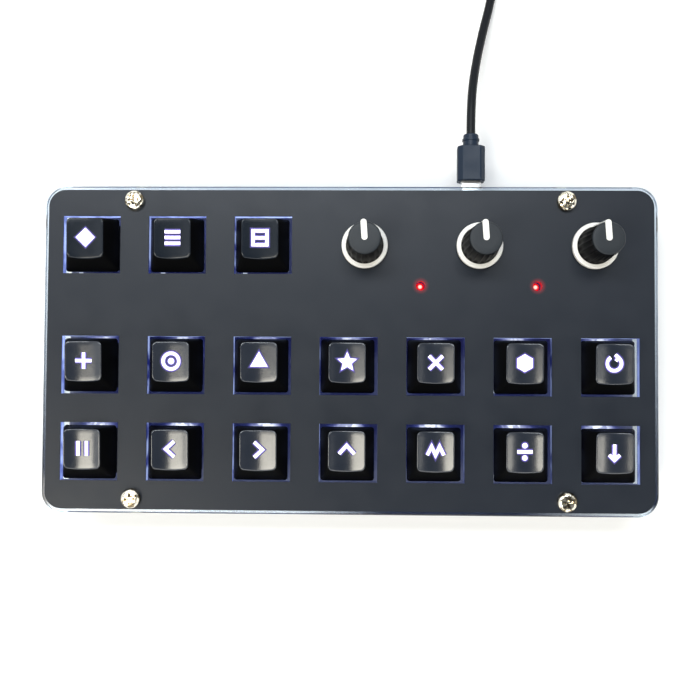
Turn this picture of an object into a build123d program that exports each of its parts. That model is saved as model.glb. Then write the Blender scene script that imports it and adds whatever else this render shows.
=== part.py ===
from build123d import *
import math
import os

os.makedirs("parts", exist_ok=True)

# Macro keypad: seventeen lit keys and three encoder knobs in an open sandwich of a clear
# face panel with a matt black film, a circuit board and a clear base plate.
# Millimetres, Z up, desk at Z 0, the back edge with the USB lead towards +Y.

# Face panel, film and base plate
panel_width = 206.0
panel_depth = 110.0
panel_thickness = 3.0
panel_corner = 7.0
panel_bevel = 0.5
film_thickness = 0.3
film_margin = 1.3
base_thickness = 3.0

# Stack from the desk up
foot_height = 3.0
foot_diameter = 10.0
foot_taper = 1.2
foot_inset = 9.0
lower_standoff_length = 5.0
upper_standoff_length = 10.0
board_thickness = 1.6
board_side_margin = 4.7
board_end_margin = 1.5
board_corner = 3.0

# Key layout
key_pitch = 29.0
back_row_y = 35.1
middle_row_y = -5.45
front_row_shift = 0.35
switch_shift = 0.35
back_row_keys = 3
full_row_keys = 7

# Keycap: a tall moulded cap with a scooped top set towards the back
keycap_base = 18.0
keycap_base_corner = 1.0
keycap_top_width = 12.0
keycap_top_depth = 13.0
keycap_top_corner = 1.6
keycap_top_shift = 1.25
keycap_top_tilt = 3.0
keycap_height = 8.8
keycap_wall = 1.4
keycap_roof = 1.5
keycap_rim_round = 0.35
dish_depth = 0.85
dish_side_cut = 0.2
skirt_drop = 0.5
keycap_clearance = 0.7

# Key switch, heights counted from the top of the board
switch_body = 14.0
switch_flange = 15.6
switch_flange_height = 5.0
switch_flange_thickness = 1.0
switch_height = 11.6
switch_wall = 1.3
switch_floor = 1.4
switch_corner = 0.5
cover_base = 13.6
cover_top_width = 10.4
cover_top_depth = 8.4
cover_wall = 0.9
cover_roof = 1.1
centre_post_diameter = 4.0
centre_post_length = 3.6
solder_pin_diameter = 1.0
solder_pin_length = 3.2
solder_pin_places = ((-3.81, -2.54), (2.54, -5.08))

# Switch stem and spring
key_travel = 4.0
stem_neck_width = 7.0
stem_neck_depth = 5.4
stem_flange_width = 8.4
stem_flange_depth = 6.0
stem_flange_height = 3.4
stem_clearance = 0.2
stem_post_diameter = 2.9
stem_post_clearance = 0.15
stem_stop_gap = 0.05
stem_end_gap = 0.2
cross_length = 4.0
cross_thickness = 1.2
cross_height = 3.6
cross_fit = 0.03
socket_diameter = 5.5
spring_outer = 4.5
spring_inner = 3.7
spring_clearance = 0.25
spring_seat_cover = 2.0

# Lamps: 3 mm light-emitting diodes
led_diameter = 3.0
led_rim_diameter = 3.4
led_rim_height = 0.8
led_body_height = 3.4
led_leg = 0.45
led_leg_pitch = 2.54
led_leg_tail = 1.2
led_leg_clearance = 0.12
led_offset = 5.08
led_seat_width = 4.0
led_slot_width = 3.8
led_clearance = 0.4
indicator_hole = 3.2
indicator_gap = 0.4
indicator_pitch = 39.0
indicator_y = 21.6

# Knobs and encoders
knob_centre_x = 43.45
knob_pitch = 38.3
knob_y = 34.9
knob_gap = 1.0
knob_height = 17.0
knob_base_diameter = 12.6
knob_top_diameter = 10.5
knob_top_round = 0.6
knob_ribs = 18
knob_groove_diameter = 1.5
knob_groove_depth = 0.35
knob_grip_start = 2.4
knob_grip_end = 15.6
knob_bore_depth = 12.0
knob_bore_fit = 0.03
skirt_diameter = 15.4
skirt_height = 1.6
skirt_round = 0.5
pointer_width = 1.9
pointer_past_centre = 0.8
pointer_proud = 0.6
pointer_thickness = 0.8
pointer_rise = 0.2
pointer_lean = 4.0
encoder_width = 12.0
encoder_depth = 11.7
encoder_height = 6.5
encoder_floor = 1.2
encoder_bush_diameter = 7.0
encoder_bush_length = 7.0
encoder_bush_clearance = 0.2
encoder_lug_width = 2.0
encoder_lug_thickness = 0.6
encoder_lug_length = 3.0
encoder_lug_clearance = 0.25
shaft_diameter = 6.0
shaft_flat_depth = 1.5
shaft_flat_length = 10.0
shaft_clearance = 0.06
shaft_end_gap = 0.3
detent_diameter = 9.0
detent_thickness = 2.0
detent_clearance = 0.3

# Standoffs and screws
screw_x = 72.5
screw_y = 49.9
screw_diameter = 3.0
screw_hole_clearance = 0.2
screw_thread_clearance = 0.05
screw_head_diameter = 6.7
screw_head_height = 2.2
screw_head_round = 1.4
screw_reach = 4.4
screw_recess_width = 0.9
screw_recess_length = 3.6
screw_recess_depth = 1.1
screw_recess_taper = 12
standoff_flats = 5.5
standoff_stud = 4.0

# USB socket and the micro plug in it
usb_x = 42.0
socket_width = 7.6
socket_height = 2.8
socket_depth = 5.4
socket_wall = 0.3
socket_corner = 0.5
socket_edge_inset = 0.1
socket_tongue_width = 3.8
socket_tongue_thickness = 0.6
socket_tongue_gap = 0.7
plug_shell_clearance = 0.08
plug_shell_wall = 0.25
plug_shell_insert = 4.0
plug_shell_bare = 3.4
plug_shell_root = 3.0
plug_width = 9.5
plug_thickness = 7.0
plug_length = 13.2
plug_facet = 1.65
plug_round = 0.4
collar_diameter = 5.6
collar_tip_diameter = 4.6
collar_length = 4.3

# Lead: straight out of the plug, down to the desk and back to a tied coil
cable_diameter = 3.1
lead_arc_share = 0.45
cable_route = (
    (0.0, 11.5, 0.0),
    (1.9, 25.0, -4.2),
    (5.0, 39.0, -9.0),
    (8.8, 53.5, -11.65),
    (11.0, 68.5, -12.05),
    (11.0, 83.5, -12.05),
)
coil_outer_radius = 25.2
coil_turns_in = 4.0
coil_turns_out = 3.75
coil_turn_over = 0.5
coil_gap = 0.6
coil_inner_tuck = 1.0
coil_tail_length = 24.0
coil_steps = 1600
coil_look = 0.01

# USB plug at the lead's far end
host_width = 16.0
host_thickness = 8.4
host_length = 27.0
host_round = 1.6
host_collar_diameter = 6.0
host_collar_length = 7.0
host_shell_width = 12.0
host_shell_thickness = 4.5
host_shell_length = 12.0
host_shell_root = 6.0
host_shell_wall = 0.35
host_tongue_thickness = 1.8
host_tongue_gap = 0.15
host_tongue_setback = 0.6

# Heights worked out from the stack
base_z = foot_height
board_z = base_z + base_thickness + lower_standoff_length
board_top = board_z + board_thickness
panel_z = board_top + upper_standoff_length
panel_top = panel_z + panel_thickness
film_top = panel_top + film_thickness
keycap_z = board_top + switch_height - skirt_drop
knob_z = film_top + knob_gap

# Outlines worked out from the panel and the keycap
film_width = panel_width - 2 * film_margin
film_depth = panel_depth - 2 * film_margin
board_width = panel_width - 2 * board_side_margin
board_depth = panel_depth - 2 * board_end_margin
hollow_width = keycap_top_width - 2 * keycap_wall
hollow_depth = keycap_top_depth - 2 * keycap_wall

# Places worked out from the layout
cutout = keycap_base + 2 * keycap_clearance
front_row_y = middle_row_y - key_pitch
rows = (
    (back_row_y, 0.0, back_row_keys),
    (middle_row_y, 0.0, full_row_keys),
    (front_row_y, -front_row_shift, full_row_keys),
)
keys = []
cutout_places = []
for row, (row_y, shift, count) in enumerate(rows, start=1):
    for column in range(1, count + 1):
        column_x = (column - (full_row_keys + 1) / 2) * key_pitch
        cutout_places.append((column_x, row_y))
        keys.append((f"r{row}c{column}", column_x - switch_shift, row_y + shift))
switch_places = [(x, y, board_top) for _, x, y in keys]
knob_names = ("left", "middle", "right")
knob_places = [(knob_centre_x + step * knob_pitch, knob_y) for step in (-1, 0, 1)]
indicator_places = [(knob_centre_x + side * indicator_pitch / 2, indicator_y) for side in (-1, 1)]
screw_places = [(x, y) for x in (-screw_x, screw_x) for y in (-screw_y, screw_y)]
led_legs = [(-led_leg_pitch / 2, 0), (led_leg_pitch / 2, 0)]


def write(piece, name):
    """Label one finished piece and write it as its own file."""
    piece.part.label = name
    export_step(piece.part, f"parts/{name}.step")


def write_copies(shape, places, name):
    """Write one node that holds a copy of the shape at every place."""
    with BuildPart() as group:
        with Locations(*places):
            add(shape.part)
    write(group, name)


# Face panel: clear acrylic with a polished bevel, the key cut-outs and the knob holes
with BuildPart() as face_panel:
    with BuildSketch(Plane.XY.offset(panel_z)):
        RectangleRounded(panel_width, panel_depth, panel_corner)
    extrude(amount=panel_thickness)
    chamfer(face_panel.faces().sort_by(Axis.Z)[-1].edges(), length=panel_bevel)
    with BuildSketch(Plane.XY.offset(panel_z)) as panel_openings:
        with Locations(*cutout_places):
            Rectangle(cutout, cutout)
        with Locations(*knob_places):
            Circle(encoder_bush_diameter / 2 + encoder_bush_clearance)
        with Locations(*indicator_places):
            Circle(indicator_hole / 2)
        with Locations(*screw_places):
            Circle(screw_diameter / 2 + screw_hole_clearance)
    extrude(amount=panel_thickness, mode=Mode.SUBTRACT)
write(face_panel, "face_panel")

# Film: matt black, laid on the panel inside its clear rim
with BuildPart() as face_film:
    with BuildSketch(Plane.XY.offset(panel_top)):
        RectangleRounded(film_width, film_depth, panel_corner - film_margin)
        add(panel_openings.sketch_local, mode=Mode.SUBTRACT)
    extrude(amount=film_thickness)
write(face_film, "face_film")

# Base plate: clear acrylic of the panel's outline
with BuildPart() as base_plate:
    with BuildSketch(Plane.XY.offset(base_z)):
        RectangleRounded(panel_width, panel_depth, panel_corner)
        with Locations(*screw_places):
            Circle(screw_diameter / 2 + screw_hole_clearance, mode=Mode.SUBTRACT)
    extrude(amount=base_thickness)
write(base_plate, "base_plate")

# Rubber feet: tapered discs under the corners of the base plate
foot_places = GridLocations(panel_width - 2 * foot_inset, panel_depth - 2 * foot_inset, 2, 2)
with BuildPart() as rubber_feet:
    with BuildSketch(Plane.XY):
        with foot_places:
            Circle(foot_diameter / 2 - foot_taper)
    extrude(amount=foot_height, taper=-math.degrees(math.atan(foot_taper / foot_height)))
write(rubber_feet, "rubber_feet")

# Circuit board with its holes for posts, pins, lamp legs, lugs and standoffs
with BuildPart() as circuit_board:
    with BuildSketch(Plane.XY.offset(board_z)):
        RectangleRounded(board_width, board_depth, board_corner)
        with Locations(*[(x, y) for x, y, _ in switch_places]):
            Circle(centre_post_diameter / 2 + stem_post_clearance, mode=Mode.SUBTRACT)
            with Locations(*solder_pin_places):
                Circle(solder_pin_diameter / 2 + screw_hole_clearance, mode=Mode.SUBTRACT)
            with Locations((0, led_offset)):
                with Locations(*led_legs):
                    Circle(led_leg / 2 + 2 * led_leg_clearance, mode=Mode.SUBTRACT)
        with Locations(*indicator_places):
            with Locations(*led_legs):
                Circle(led_leg / 2 + 2 * led_leg_clearance, mode=Mode.SUBTRACT)
        with Locations(*knob_places):
            with GridLocations(encoder_width - encoder_lug_thickness, 0, 2, 1):
                Rectangle(
                    encoder_lug_thickness + 2 * encoder_lug_clearance,
                    encoder_lug_width + 2 * encoder_lug_clearance,
                    mode=Mode.SUBTRACT,
                )
        with Locations(*screw_places):
            Circle(screw_diameter / 2 + screw_hole_clearance, mode=Mode.SUBTRACT)
    extrude(amount=board_thickness)
write(circuit_board, "circuit_board")

# Standoffs: a lower one with a stud through the board, an upper one screwed on to it
with BuildPart() as standoffs:
    with BuildSketch(Plane.XY.offset(base_z + base_thickness)):
        with Locations(*screw_places):
            RegularPolygon(standoff_flats / 2, 6, major_radius=False)
    extrude(amount=lower_standoff_length)
    with BuildSketch(Plane.XY.offset(base_z + base_thickness)):
        with Locations(*screw_places):
            Circle(screw_diameter / 2 + screw_thread_clearance)
    extrude(amount=screw_reach - screw_thread_clearance, mode=Mode.SUBTRACT)
    with BuildSketch(Plane.XY.offset(board_z)):
        with Locations(*screw_places):
            Circle(screw_diameter / 2)
    extrude(amount=board_thickness + standoff_stud)
    with BuildSketch(Plane.XY.offset(board_top)):
        with Locations(*screw_places):
            RegularPolygon(standoff_flats / 2, 6, major_radius=False)
            Circle(screw_diameter / 2 + screw_thread_clearance, mode=Mode.SUBTRACT)
    extrude(amount=upper_standoff_length)
write(standoffs, "standoffs")

# Screw: a domed cross-head screw, drawn with the underside of its head at Z 0
with BuildPart() as screw:
    with BuildSketch(Plane.XY):
        Circle(screw_head_diameter / 2)
    extrude(amount=screw_head_height)
    fillet(screw.faces().sort_by(Axis.Z)[-1].edges(), radius=screw_head_round)
    with BuildSketch(Plane.XY.offset(screw_head_height)):
        Rectangle(screw_recess_length, screw_recess_width)
        Rectangle(screw_recess_width, screw_recess_length)
    extrude(amount=-screw_recess_depth, taper=screw_recess_taper, mode=Mode.SUBTRACT)
with BuildPart() as screws:
    with Locations(*[(x, y, film_top) for x, y in screw_places]):
        add(screw.part)
    with BuildSketch(Plane.XY.offset(film_top)):
        with Locations(*screw_places):
            Circle(screw_diameter / 2)
    extrude(amount=-(film_thickness + panel_thickness + screw_reach))
    with Locations(*[Location((x, y, base_z), (180, 0, 0)) for x, y in screw_places]):
        add(screw.part)
    with BuildSketch(Plane.XY.offset(base_z)):
        with Locations(*screw_places):
            Circle(screw_diameter / 2)
    extrude(amount=base_thickness + screw_reach - 2 * screw_thread_clearance)
write(screws, "screws")

# Switch base: the lower housing with its well, lamp seat, centre post and solder pins
stem_flange_top = switch_height - cover_roof - stem_stop_gap
stem_flange_bottom = stem_flange_top - stem_flange_height
spring_top = switch_height - spring_seat_cover
stem_post_bottom = stem_end_gap + key_travel - centre_post_length + stem_post_clearance
seat_z = switch_flange_height + switch_flange_thickness
well = switch_body - 2 * switch_wall
seat_front = stem_flange_depth / 2 + led_clearance
with BuildPart() as switch_base:
    with BuildSketch(Plane.XY):
        RectangleRounded(switch_body, switch_body, switch_corner)
    extrude(amount=seat_z)
    with BuildSketch(Plane.XY.offset(switch_flange_height)):
        RectangleRounded(switch_flange, switch_flange, switch_corner)
    extrude(amount=switch_flange_thickness)
    with BuildSketch(Plane.XY.offset(switch_floor)):
        Rectangle(well, well)
        with Locations((0, seat_front)):
            Rectangle(led_seat_width, well / 2, align=(Align.CENTER, Align.MIN), mode=Mode.SUBTRACT)
    extrude(amount=seat_z - switch_floor, mode=Mode.SUBTRACT)
    with BuildSketch(Plane.XY):
        Circle(centre_post_diameter / 2)
    extrude(amount=-centre_post_length)
    with BuildSketch(Plane.XY):
        with Locations(*solder_pin_places):
            Circle(solder_pin_diameter / 2)
    extrude(amount=-solder_pin_length)
    with BuildSketch(Plane.XY.offset(switch_floor)):
        Circle(stem_post_diameter / 2 + stem_post_clearance)
    extrude(amount=-(switch_floor + centre_post_length - stem_post_clearance), mode=Mode.SUBTRACT)
    with BuildSketch(Plane.XY):
        with Locations((0, led_offset)):
            with Locations(*led_legs):
                Rectangle(led_leg + 2 * led_leg_clearance, led_leg + 2 * led_leg_clearance)
    extrude(amount=seat_z, mode=Mode.SUBTRACT)
write_copies(switch_base, switch_places, "switch_bases")

# Switch cover: the tapered upper housing with the stem's opening and the lamp slot
with BuildPart() as switch_cover:
    with BuildSketch(Plane.XY.offset(seat_z)):
        RectangleRounded(cover_base, cover_base, switch_corner)
    with BuildSketch(Plane.XY.offset(switch_height)):
        RectangleRounded(cover_top_width, cover_top_depth, switch_corner)
    loft()
    with BuildSketch(Plane.XY.offset(seat_z)):
        Rectangle(cover_base - 2 * cover_wall, cover_base - 2 * cover_wall)
    with BuildSketch(Plane.XY.offset(switch_height - cover_roof)):
        Rectangle(cover_top_width - 2 * cover_wall, cover_top_depth - 2 * cover_wall)
    loft(mode=Mode.SUBTRACT)
    with BuildSketch(Plane.XY.offset(switch_height)):
        Rectangle(stem_neck_width + 2 * stem_clearance, stem_neck_depth + 2 * stem_clearance)
    extrude(amount=-2 * cover_roof, mode=Mode.SUBTRACT)
    with BuildSketch(Plane.XY.offset(seat_z)):
        with Locations((0, seat_front - led_clearance / 2)):
            Rectangle(led_slot_width, cover_base, align=(Align.CENTER, Align.MIN))
    extrude(amount=switch_height - seat_z, mode=Mode.SUBTRACT)
write_copies(switch_cover, switch_places, "switch_covers")

# Stem: the sliding plunger with its cross, flange, spring pocket and guide post
with BuildPart() as stem_shape:
    with BuildSketch(Plane.XY.offset(stem_flange_bottom)):
        RectangleRounded(stem_flange_width, stem_flange_depth, switch_corner)
    extrude(amount=stem_flange_height)
    with BuildSketch(Plane.XY.offset(stem_flange_top)):
        RectangleRounded(stem_neck_width, stem_neck_depth, switch_corner)
    extrude(amount=switch_height - stem_flange_top)
    with BuildSketch(Plane.XY.offset(switch_height)):
        Rectangle(cross_length, cross_thickness)
        Rectangle(cross_thickness, cross_length)
    extrude(amount=cross_height)
    with BuildSketch(Plane.XY.offset(stem_flange_bottom)):
        Circle(spring_outer / 2 + spring_clearance)
    extrude(amount=spring_top - stem_flange_bottom, mode=Mode.SUBTRACT)
    with BuildSketch(Plane.XY.offset(spring_top)):
        Circle(stem_post_diameter / 2)
    extrude(amount=stem_post_bottom - spring_top)

# Spring: the envelope of the wound return spring, from the well's floor to the stem
with BuildPart() as spring:
    with BuildSketch(Plane.XY.offset(switch_floor)):
        Circle(spring_outer / 2)
        Circle(spring_inner / 2, mode=Mode.SUBTRACT)
    extrude(amount=spring_top - switch_floor)
write_copies(spring, switch_places, "switch_springs")

# Keycap: lofted skin, lofted hollow, scooped top and a socket for the stem's cross
top_tilt = math.radians(keycap_top_tilt)
keycap_top_plane = Plane(
    origin=(0, keycap_top_shift, keycap_height),
    x_dir=(1, 0, 0),
    z_dir=(0, -math.sin(top_tilt), math.cos(top_tilt)),
)
dish_plane = Plane(origin=keycap_top_plane.origin, x_dir=(1, 0, 0), z_dir=keycap_top_plane.y_dir)
hollow_height = keycap_height - dish_depth - keycap_roof
dish_sag = dish_depth - dish_side_cut
dish_radius = (dish_sag**2 + keycap_top_width**2 / 4) / (2 * dish_sag)
with BuildPart() as keycap_shape:
    with BuildSketch(Plane.XY):
        RectangleRounded(keycap_base, keycap_base, keycap_base_corner)
    with BuildSketch(keycap_top_plane):
        RectangleRounded(keycap_top_width, keycap_top_depth, keycap_top_corner)
    loft()
    with BuildSketch(dish_plane):
        with Locations((0, dish_depth - dish_radius)):
            Circle(dish_radius)
    extrude(amount=keycap_base, both=True, mode=Mode.SUBTRACT)
    scoop = keycap_shape.faces().filter_by(GeomType.CYLINDER).sort_by(SortBy.AREA)[-1]
    fillet(scoop.edges(), radius=keycap_rim_round)
    with BuildSketch(Plane.XY):
        RectangleRounded(keycap_base - 2 * keycap_wall, keycap_base - 2 * keycap_wall, keycap_base_corner)
    with BuildSketch(Plane((0, keycap_top_shift, hollow_height))):
        RectangleRounded(hollow_width, hollow_depth, keycap_base_corner)
    loft(mode=Mode.SUBTRACT)
    with BuildSketch(Plane.XY.offset(skirt_drop)):
        Circle(socket_diameter / 2)
    extrude(amount=hollow_height - skirt_drop + keycap_roof / 2)
    with BuildSketch(Plane.XY.offset(skirt_drop)):
        Rectangle(cross_length + 2 * cross_fit, cross_thickness + 2 * cross_fit)
        Rectangle(cross_thickness + 2 * cross_fit, cross_length + 2 * cross_fit)
    extrude(amount=cross_height + cross_fit, mode=Mode.SUBTRACT)

for name, key_x, key_y in keys:
    with BuildPart() as keycap:
        with Locations((key_x, key_y, keycap_z)):
            add(keycap_shape.part)
    write(keycap, f"keycap_{name}")
    with BuildPart() as stem:
        with Locations((key_x, key_y, board_top)):
            add(stem_shape.part)
    write(stem, f"stem_{name}")


led_height = led_body_height + led_diameter / 2


def make_led(leg_length):
    """A domed lamp with its rim at Z 0 and two legs of the given length below."""
    with BuildPart() as led:
        with BuildSketch(Plane.XZ):
            with BuildLine():
                Line((0, 0), (led_rim_diameter / 2, 0))
                Line((led_rim_diameter / 2, 0), (led_rim_diameter / 2, led_rim_height))
                Line((led_rim_diameter / 2, led_rim_height), (led_diameter / 2, led_rim_height))
                Line((led_diameter / 2, led_rim_height), (led_diameter / 2, led_body_height))
                RadiusArc((led_diameter / 2, led_body_height), (0, led_height), -led_diameter / 2)
                Line((0, led_height), (0, 0))
            make_face()
        revolve(axis=Axis.Z)
        with BuildSketch(Plane.XY):
            with Locations(*led_legs):
                Rectangle(led_leg, led_leg)
        extrude(amount=-leg_length)
    return led


# Lamps: one in each switch and two tall ones behind the small holes in the panel
key_led = make_led(seat_z + board_thickness + led_leg_tail)
indicator_z = panel_z - indicator_gap - led_height
indicator_led = make_led(indicator_z - board_z + led_leg_tail)
with BuildPart() as leds:
    with Locations(*[(x, y + led_offset, z + seat_z) for x, y, z in switch_places]):
        add(key_led.part)
    with Locations(*[(x, y, indicator_z) for x, y in indicator_places]):
        add(indicator_led.part)
write(leds, "leds")

# Encoder: a boxed body with a round bush, two lugs into the board and the detent chamber
shaft_bottom = encoder_floor + shaft_end_gap
chamber_height = detent_thickness + 2 * detent_clearance
with BuildPart() as encoder:
    with BuildSketch(Plane.XY):
        RectangleRounded(encoder_width, encoder_depth, switch_corner)
    extrude(amount=encoder_height)
    with BuildSketch(Plane.XY.offset(encoder_height)):
        Circle(encoder_bush_diameter / 2)
    extrude(amount=encoder_bush_length)
    with BuildSketch(Plane.XY):
        with GridLocations(encoder_width - encoder_lug_thickness, 0, 2, 1):
            Rectangle(encoder_lug_thickness, encoder_lug_width)
    extrude(amount=-encoder_lug_length)
    with BuildSketch(Plane.XY.offset(encoder_floor)):
        Circle(shaft_diameter / 2 + shaft_clearance)
    extrude(amount=encoder_height + encoder_bush_length - encoder_floor, mode=Mode.SUBTRACT)
    with BuildSketch(Plane.XY.offset(shaft_bottom)):
        Circle(detent_diameter / 2 + detent_clearance)
    extrude(amount=chamber_height, mode=Mode.SUBTRACT)
write_copies(encoder, [(x, y, board_top) for x, y in knob_places], "encoder_bodies")

# Encoder shaft: a round shaft with its detent disc and a flat for the knob
shaft_top = knob_z - board_top + knob_bore_depth
flat_plane = Plane.XY.offset(shaft_top - shaft_flat_length)
with BuildPart() as shaft_shape:
    with BuildSketch(Plane.XY.offset(shaft_bottom)):
        Circle(shaft_diameter / 2)
    extrude(amount=shaft_top - shaft_bottom)
    with BuildSketch(Plane.XY.offset(shaft_bottom + detent_clearance)):
        Circle(detent_diameter / 2)
    extrude(amount=detent_thickness)
    with BuildSketch(flat_plane):
        with Locations((0, shaft_flat_depth - shaft_diameter / 2)):
            Rectangle(shaft_diameter, shaft_diameter, align=(Align.CENTER, Align.MAX))
    extrude(amount=shaft_flat_length, mode=Mode.SUBTRACT)

# Knob insert: the white skirt ring with the pointer that climbs the side and crosses the top
skirt_radius = skirt_diameter / 2
base_radius = knob_base_diameter / 2
top_radius = knob_top_diameter / 2
pointer_top = knob_height + pointer_rise
pointer_side = (
    (base_radius + pointer_proud, 0),
    (top_radius + pointer_proud, pointer_top),
    (-pointer_past_centre, pointer_top),
    (-pointer_past_centre, knob_height - pointer_thickness),
    (top_radius - pointer_thickness, knob_height - pointer_thickness),
    (base_radius - pointer_thickness, 0),
)
with BuildPart() as pointer_shape:
    with BuildSketch(Plane.YZ):
        with BuildLine():
            Polyline(*pointer_side, close=True)
        make_face()
    extrude(amount=pointer_width / 2, both=True)
    nose_edges = pointer_shape.faces().sort_by(Axis.Y)[-1].edges().filter_by(Axis.X, reverse=True)
    heel_edges = pointer_shape.faces().sort_by(Axis.Y)[0].edges().filter_by(Axis.X, reverse=True)
    fillet(nose_edges + heel_edges, radius=pointer_width / 2 - knob_bore_fit)
with BuildPart() as insert_shape:
    with BuildSketch(Plane.XY):
        Circle(skirt_radius)
        Circle(base_radius, mode=Mode.SUBTRACT)
    extrude(amount=skirt_height)
    fillet(insert_shape.faces().sort_by(Axis.Z)[-1].outer_wire().edges(), radius=skirt_round)
    add(pointer_shape.part)

# Knob body: a tapered black grip with grooves, a bore with a flat and the insert's channel
groove_lean = math.atan((base_radius - top_radius) / knob_height)
groove_depth_at_base = base_radius + knob_groove_diameter / 2 - knob_groove_depth
with BuildPart() as knob_shape:
    with BuildSketch(Plane.XZ):
        with BuildLine():
            Polyline((0, 0), (base_radius, 0), (top_radius, knob_height), (0, knob_height), close=True)
        make_face()
    revolve(axis=Axis.Z)
    fillet(knob_shape.faces().sort_by(Axis.Z)[-1].edges(), radius=knob_top_round)
    groove_plane = Plane(
        origin=(0, groove_depth_at_base - knob_grip_start * math.tan(groove_lean), knob_grip_start),
        x_dir=(1, 0, 0),
        z_dir=(0, -math.sin(groove_lean), math.cos(groove_lean)),
    )
    with BuildSketch(groove_plane):
        Circle(knob_groove_diameter / 2)
    groove = extrude(amount=(knob_grip_end - knob_grip_start) / math.cos(groove_lean), mode=Mode.PRIVATE)
    half_rib = 180 / knob_ribs
    with PolarLocations(0, knob_ribs, start_angle=half_rib):
        add(groove, mode=Mode.SUBTRACT)
    with BuildSketch(Plane.XY):
        Circle(shaft_diameter / 2 + knob_bore_fit)
    extrude(amount=knob_bore_depth + knob_bore_fit, mode=Mode.SUBTRACT)
    with BuildSketch(Plane.XY.offset(knob_bore_depth - shaft_flat_length)):
        Circle(shaft_diameter / 2 + knob_bore_fit)
        with Locations((0, shaft_flat_depth - shaft_diameter / 2 - knob_bore_fit)):
            Rectangle(shaft_diameter, shaft_diameter, align=(Align.CENTER, Align.MIN), mode=Mode.SUBTRACT)
    extrude(amount=shaft_flat_length + knob_bore_fit)
    add(insert_shape.part, mode=Mode.SUBTRACT)

for name, (knob_x, shaft_y) in zip(knob_names, knob_places):
    with BuildPart() as shaft:
        with Locations(Location((knob_x, shaft_y, board_top), (0, 0, pointer_lean))):
            add(shaft_shape.part)
    write(shaft, f"encoder_shaft_{name}")
    with BuildPart() as knob:
        with Locations(Location((knob_x, shaft_y, knob_z), (0, 0, pointer_lean))):
            add(knob_shape.part)
    write(knob, f"knob_{name}")
    with BuildPart() as insert:
        with Locations(Location((knob_x, shaft_y, knob_z), (0, 0, pointer_lean))):
            add(insert_shape.part)
    write(insert, f"knob_pointer_{name}")

# USB socket: a folded metal shell on the board's back edge with a contact tongue inside
socket_front = panel_depth / 2 - socket_edge_inset
socket_centre_z = board_top + socket_height / 2
mouth_width = socket_width - 2 * socket_wall
mouth_height = socket_height - 2 * socket_wall
socket_plane = Plane((usb_x, socket_front, socket_centre_z), x_dir=(1, 0, 0), z_dir=(0, -1, 0))
with BuildPart() as usb_socket:
    with BuildSketch(socket_plane):
        RectangleRounded(socket_width, socket_height, socket_corner)
    extrude(amount=socket_depth)
    with BuildSketch(socket_plane):
        RectangleRounded(mouth_width, mouth_height, socket_corner - socket_wall / 2)
    extrude(amount=socket_depth - socket_wall, mode=Mode.SUBTRACT)
    with BuildSketch(socket_plane.offset(socket_depth)):
        Rectangle(socket_tongue_width, socket_tongue_thickness)
    extrude(amount=-(socket_depth - socket_tongue_gap))
write(usb_socket, "usb_socket")

# Micro plug: a metal shell in the socket and a faceted grip with a tapered collar
shell_width = mouth_width - 2 * plug_shell_clearance
shell_height = mouth_height - 2 * plug_shell_clearance
grip_y = socket_front + plug_shell_bare
grip_plane = Plane((usb_x, grip_y, socket_centre_z), x_dir=(1, 0, 0), z_dir=(0, 1, 0))
shell_length = plug_shell_insert + plug_shell_bare
with BuildPart() as plug_shell:
    with BuildSketch(grip_plane.offset(-shell_length)):
        RectangleRounded(shell_width, shell_height, socket_corner - socket_wall)
        Rectangle(shell_width - 2 * plug_shell_wall, shell_height - 2 * plug_shell_wall, mode=Mode.SUBTRACT)
    extrude(amount=shell_length + plug_shell_root)
with BuildPart() as plug_grip:
    with BuildSketch(grip_plane) as grip_section:
        Rectangle(plug_width, plug_thickness)
        chamfer(grip_section.vertices(), length=plug_facet)
    extrude(amount=plug_length)
    fillet(plug_grip.faces().sort_by(Axis.Y)[-1].edges(), radius=plug_round)
    with BuildSketch(grip_plane.offset(plug_length)):
        Circle(collar_diameter / 2)
    with BuildSketch(grip_plane.offset(plug_length + collar_length)):
        Circle(collar_tip_diameter / 2)
    loft()
    add(plug_shell.part, mode=Mode.SUBTRACT)
micro_solids = Compound(label="micro_usb_plug", children=[plug_grip.part, plug_shell.part])
export_step(micro_solids, "parts/micro_usb_plug.step")


def tube_report(name, tube, path_length):
    """Print how a round tube's volume compares with its section times its length."""
    section = math.pi * cable_diameter**2 / 4
    ratio = tube.part.volume / (section * path_length)
    print(f"{name}: length {path_length:.1f} mm, volume over section times length {ratio:.4f}")


# Lead: a round tube from the collar down to the desk, with arcs as large as its runs allow
lead_start = Vector(usb_x, grip_y + plug_length + collar_length, socket_centre_z)
lead_points = [lead_start] + [lead_start + Vector(*step) for step in cable_route]
lead_radii = []
for before, corner, after in zip(lead_points, lead_points[1:], lead_points[2:]):
    run_in = corner - before
    run_out = after - corner
    half_turn = math.radians(run_in.get_angle(run_out)) / 2
    lead_radii.append(lead_arc_share * min(run_in.length, run_out.length) / math.tan(half_turn))
print("lead radii", [round(radius, 1) for radius in lead_radii])
with BuildPart() as cable:
    with BuildLine() as lead_line:
        FilletPolyline(*lead_points, radius=lead_radii)
    with BuildSketch(Plane(lead_start, z_dir=lead_points[1] - lead_start)):
        Circle(cable_diameter / 2)
    lead_path = lead_line.wire()
    sweep(path=lead_path)
tube_report("cable", cable, lead_path.length)
write(cable, "cable")

# Coil: spirals in on the desk, climbs a layer at the inner turn and spirals out on top
coil_pitch = cable_diameter + coil_gap
coil_start = lead_points[-1] + Vector(0, cable_diameter, 0)
coil_centre = coil_start - Vector(coil_outer_radius, 0, 0)
coil_end_turn = coil_turns_in + coil_turn_over + coil_turns_out


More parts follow.
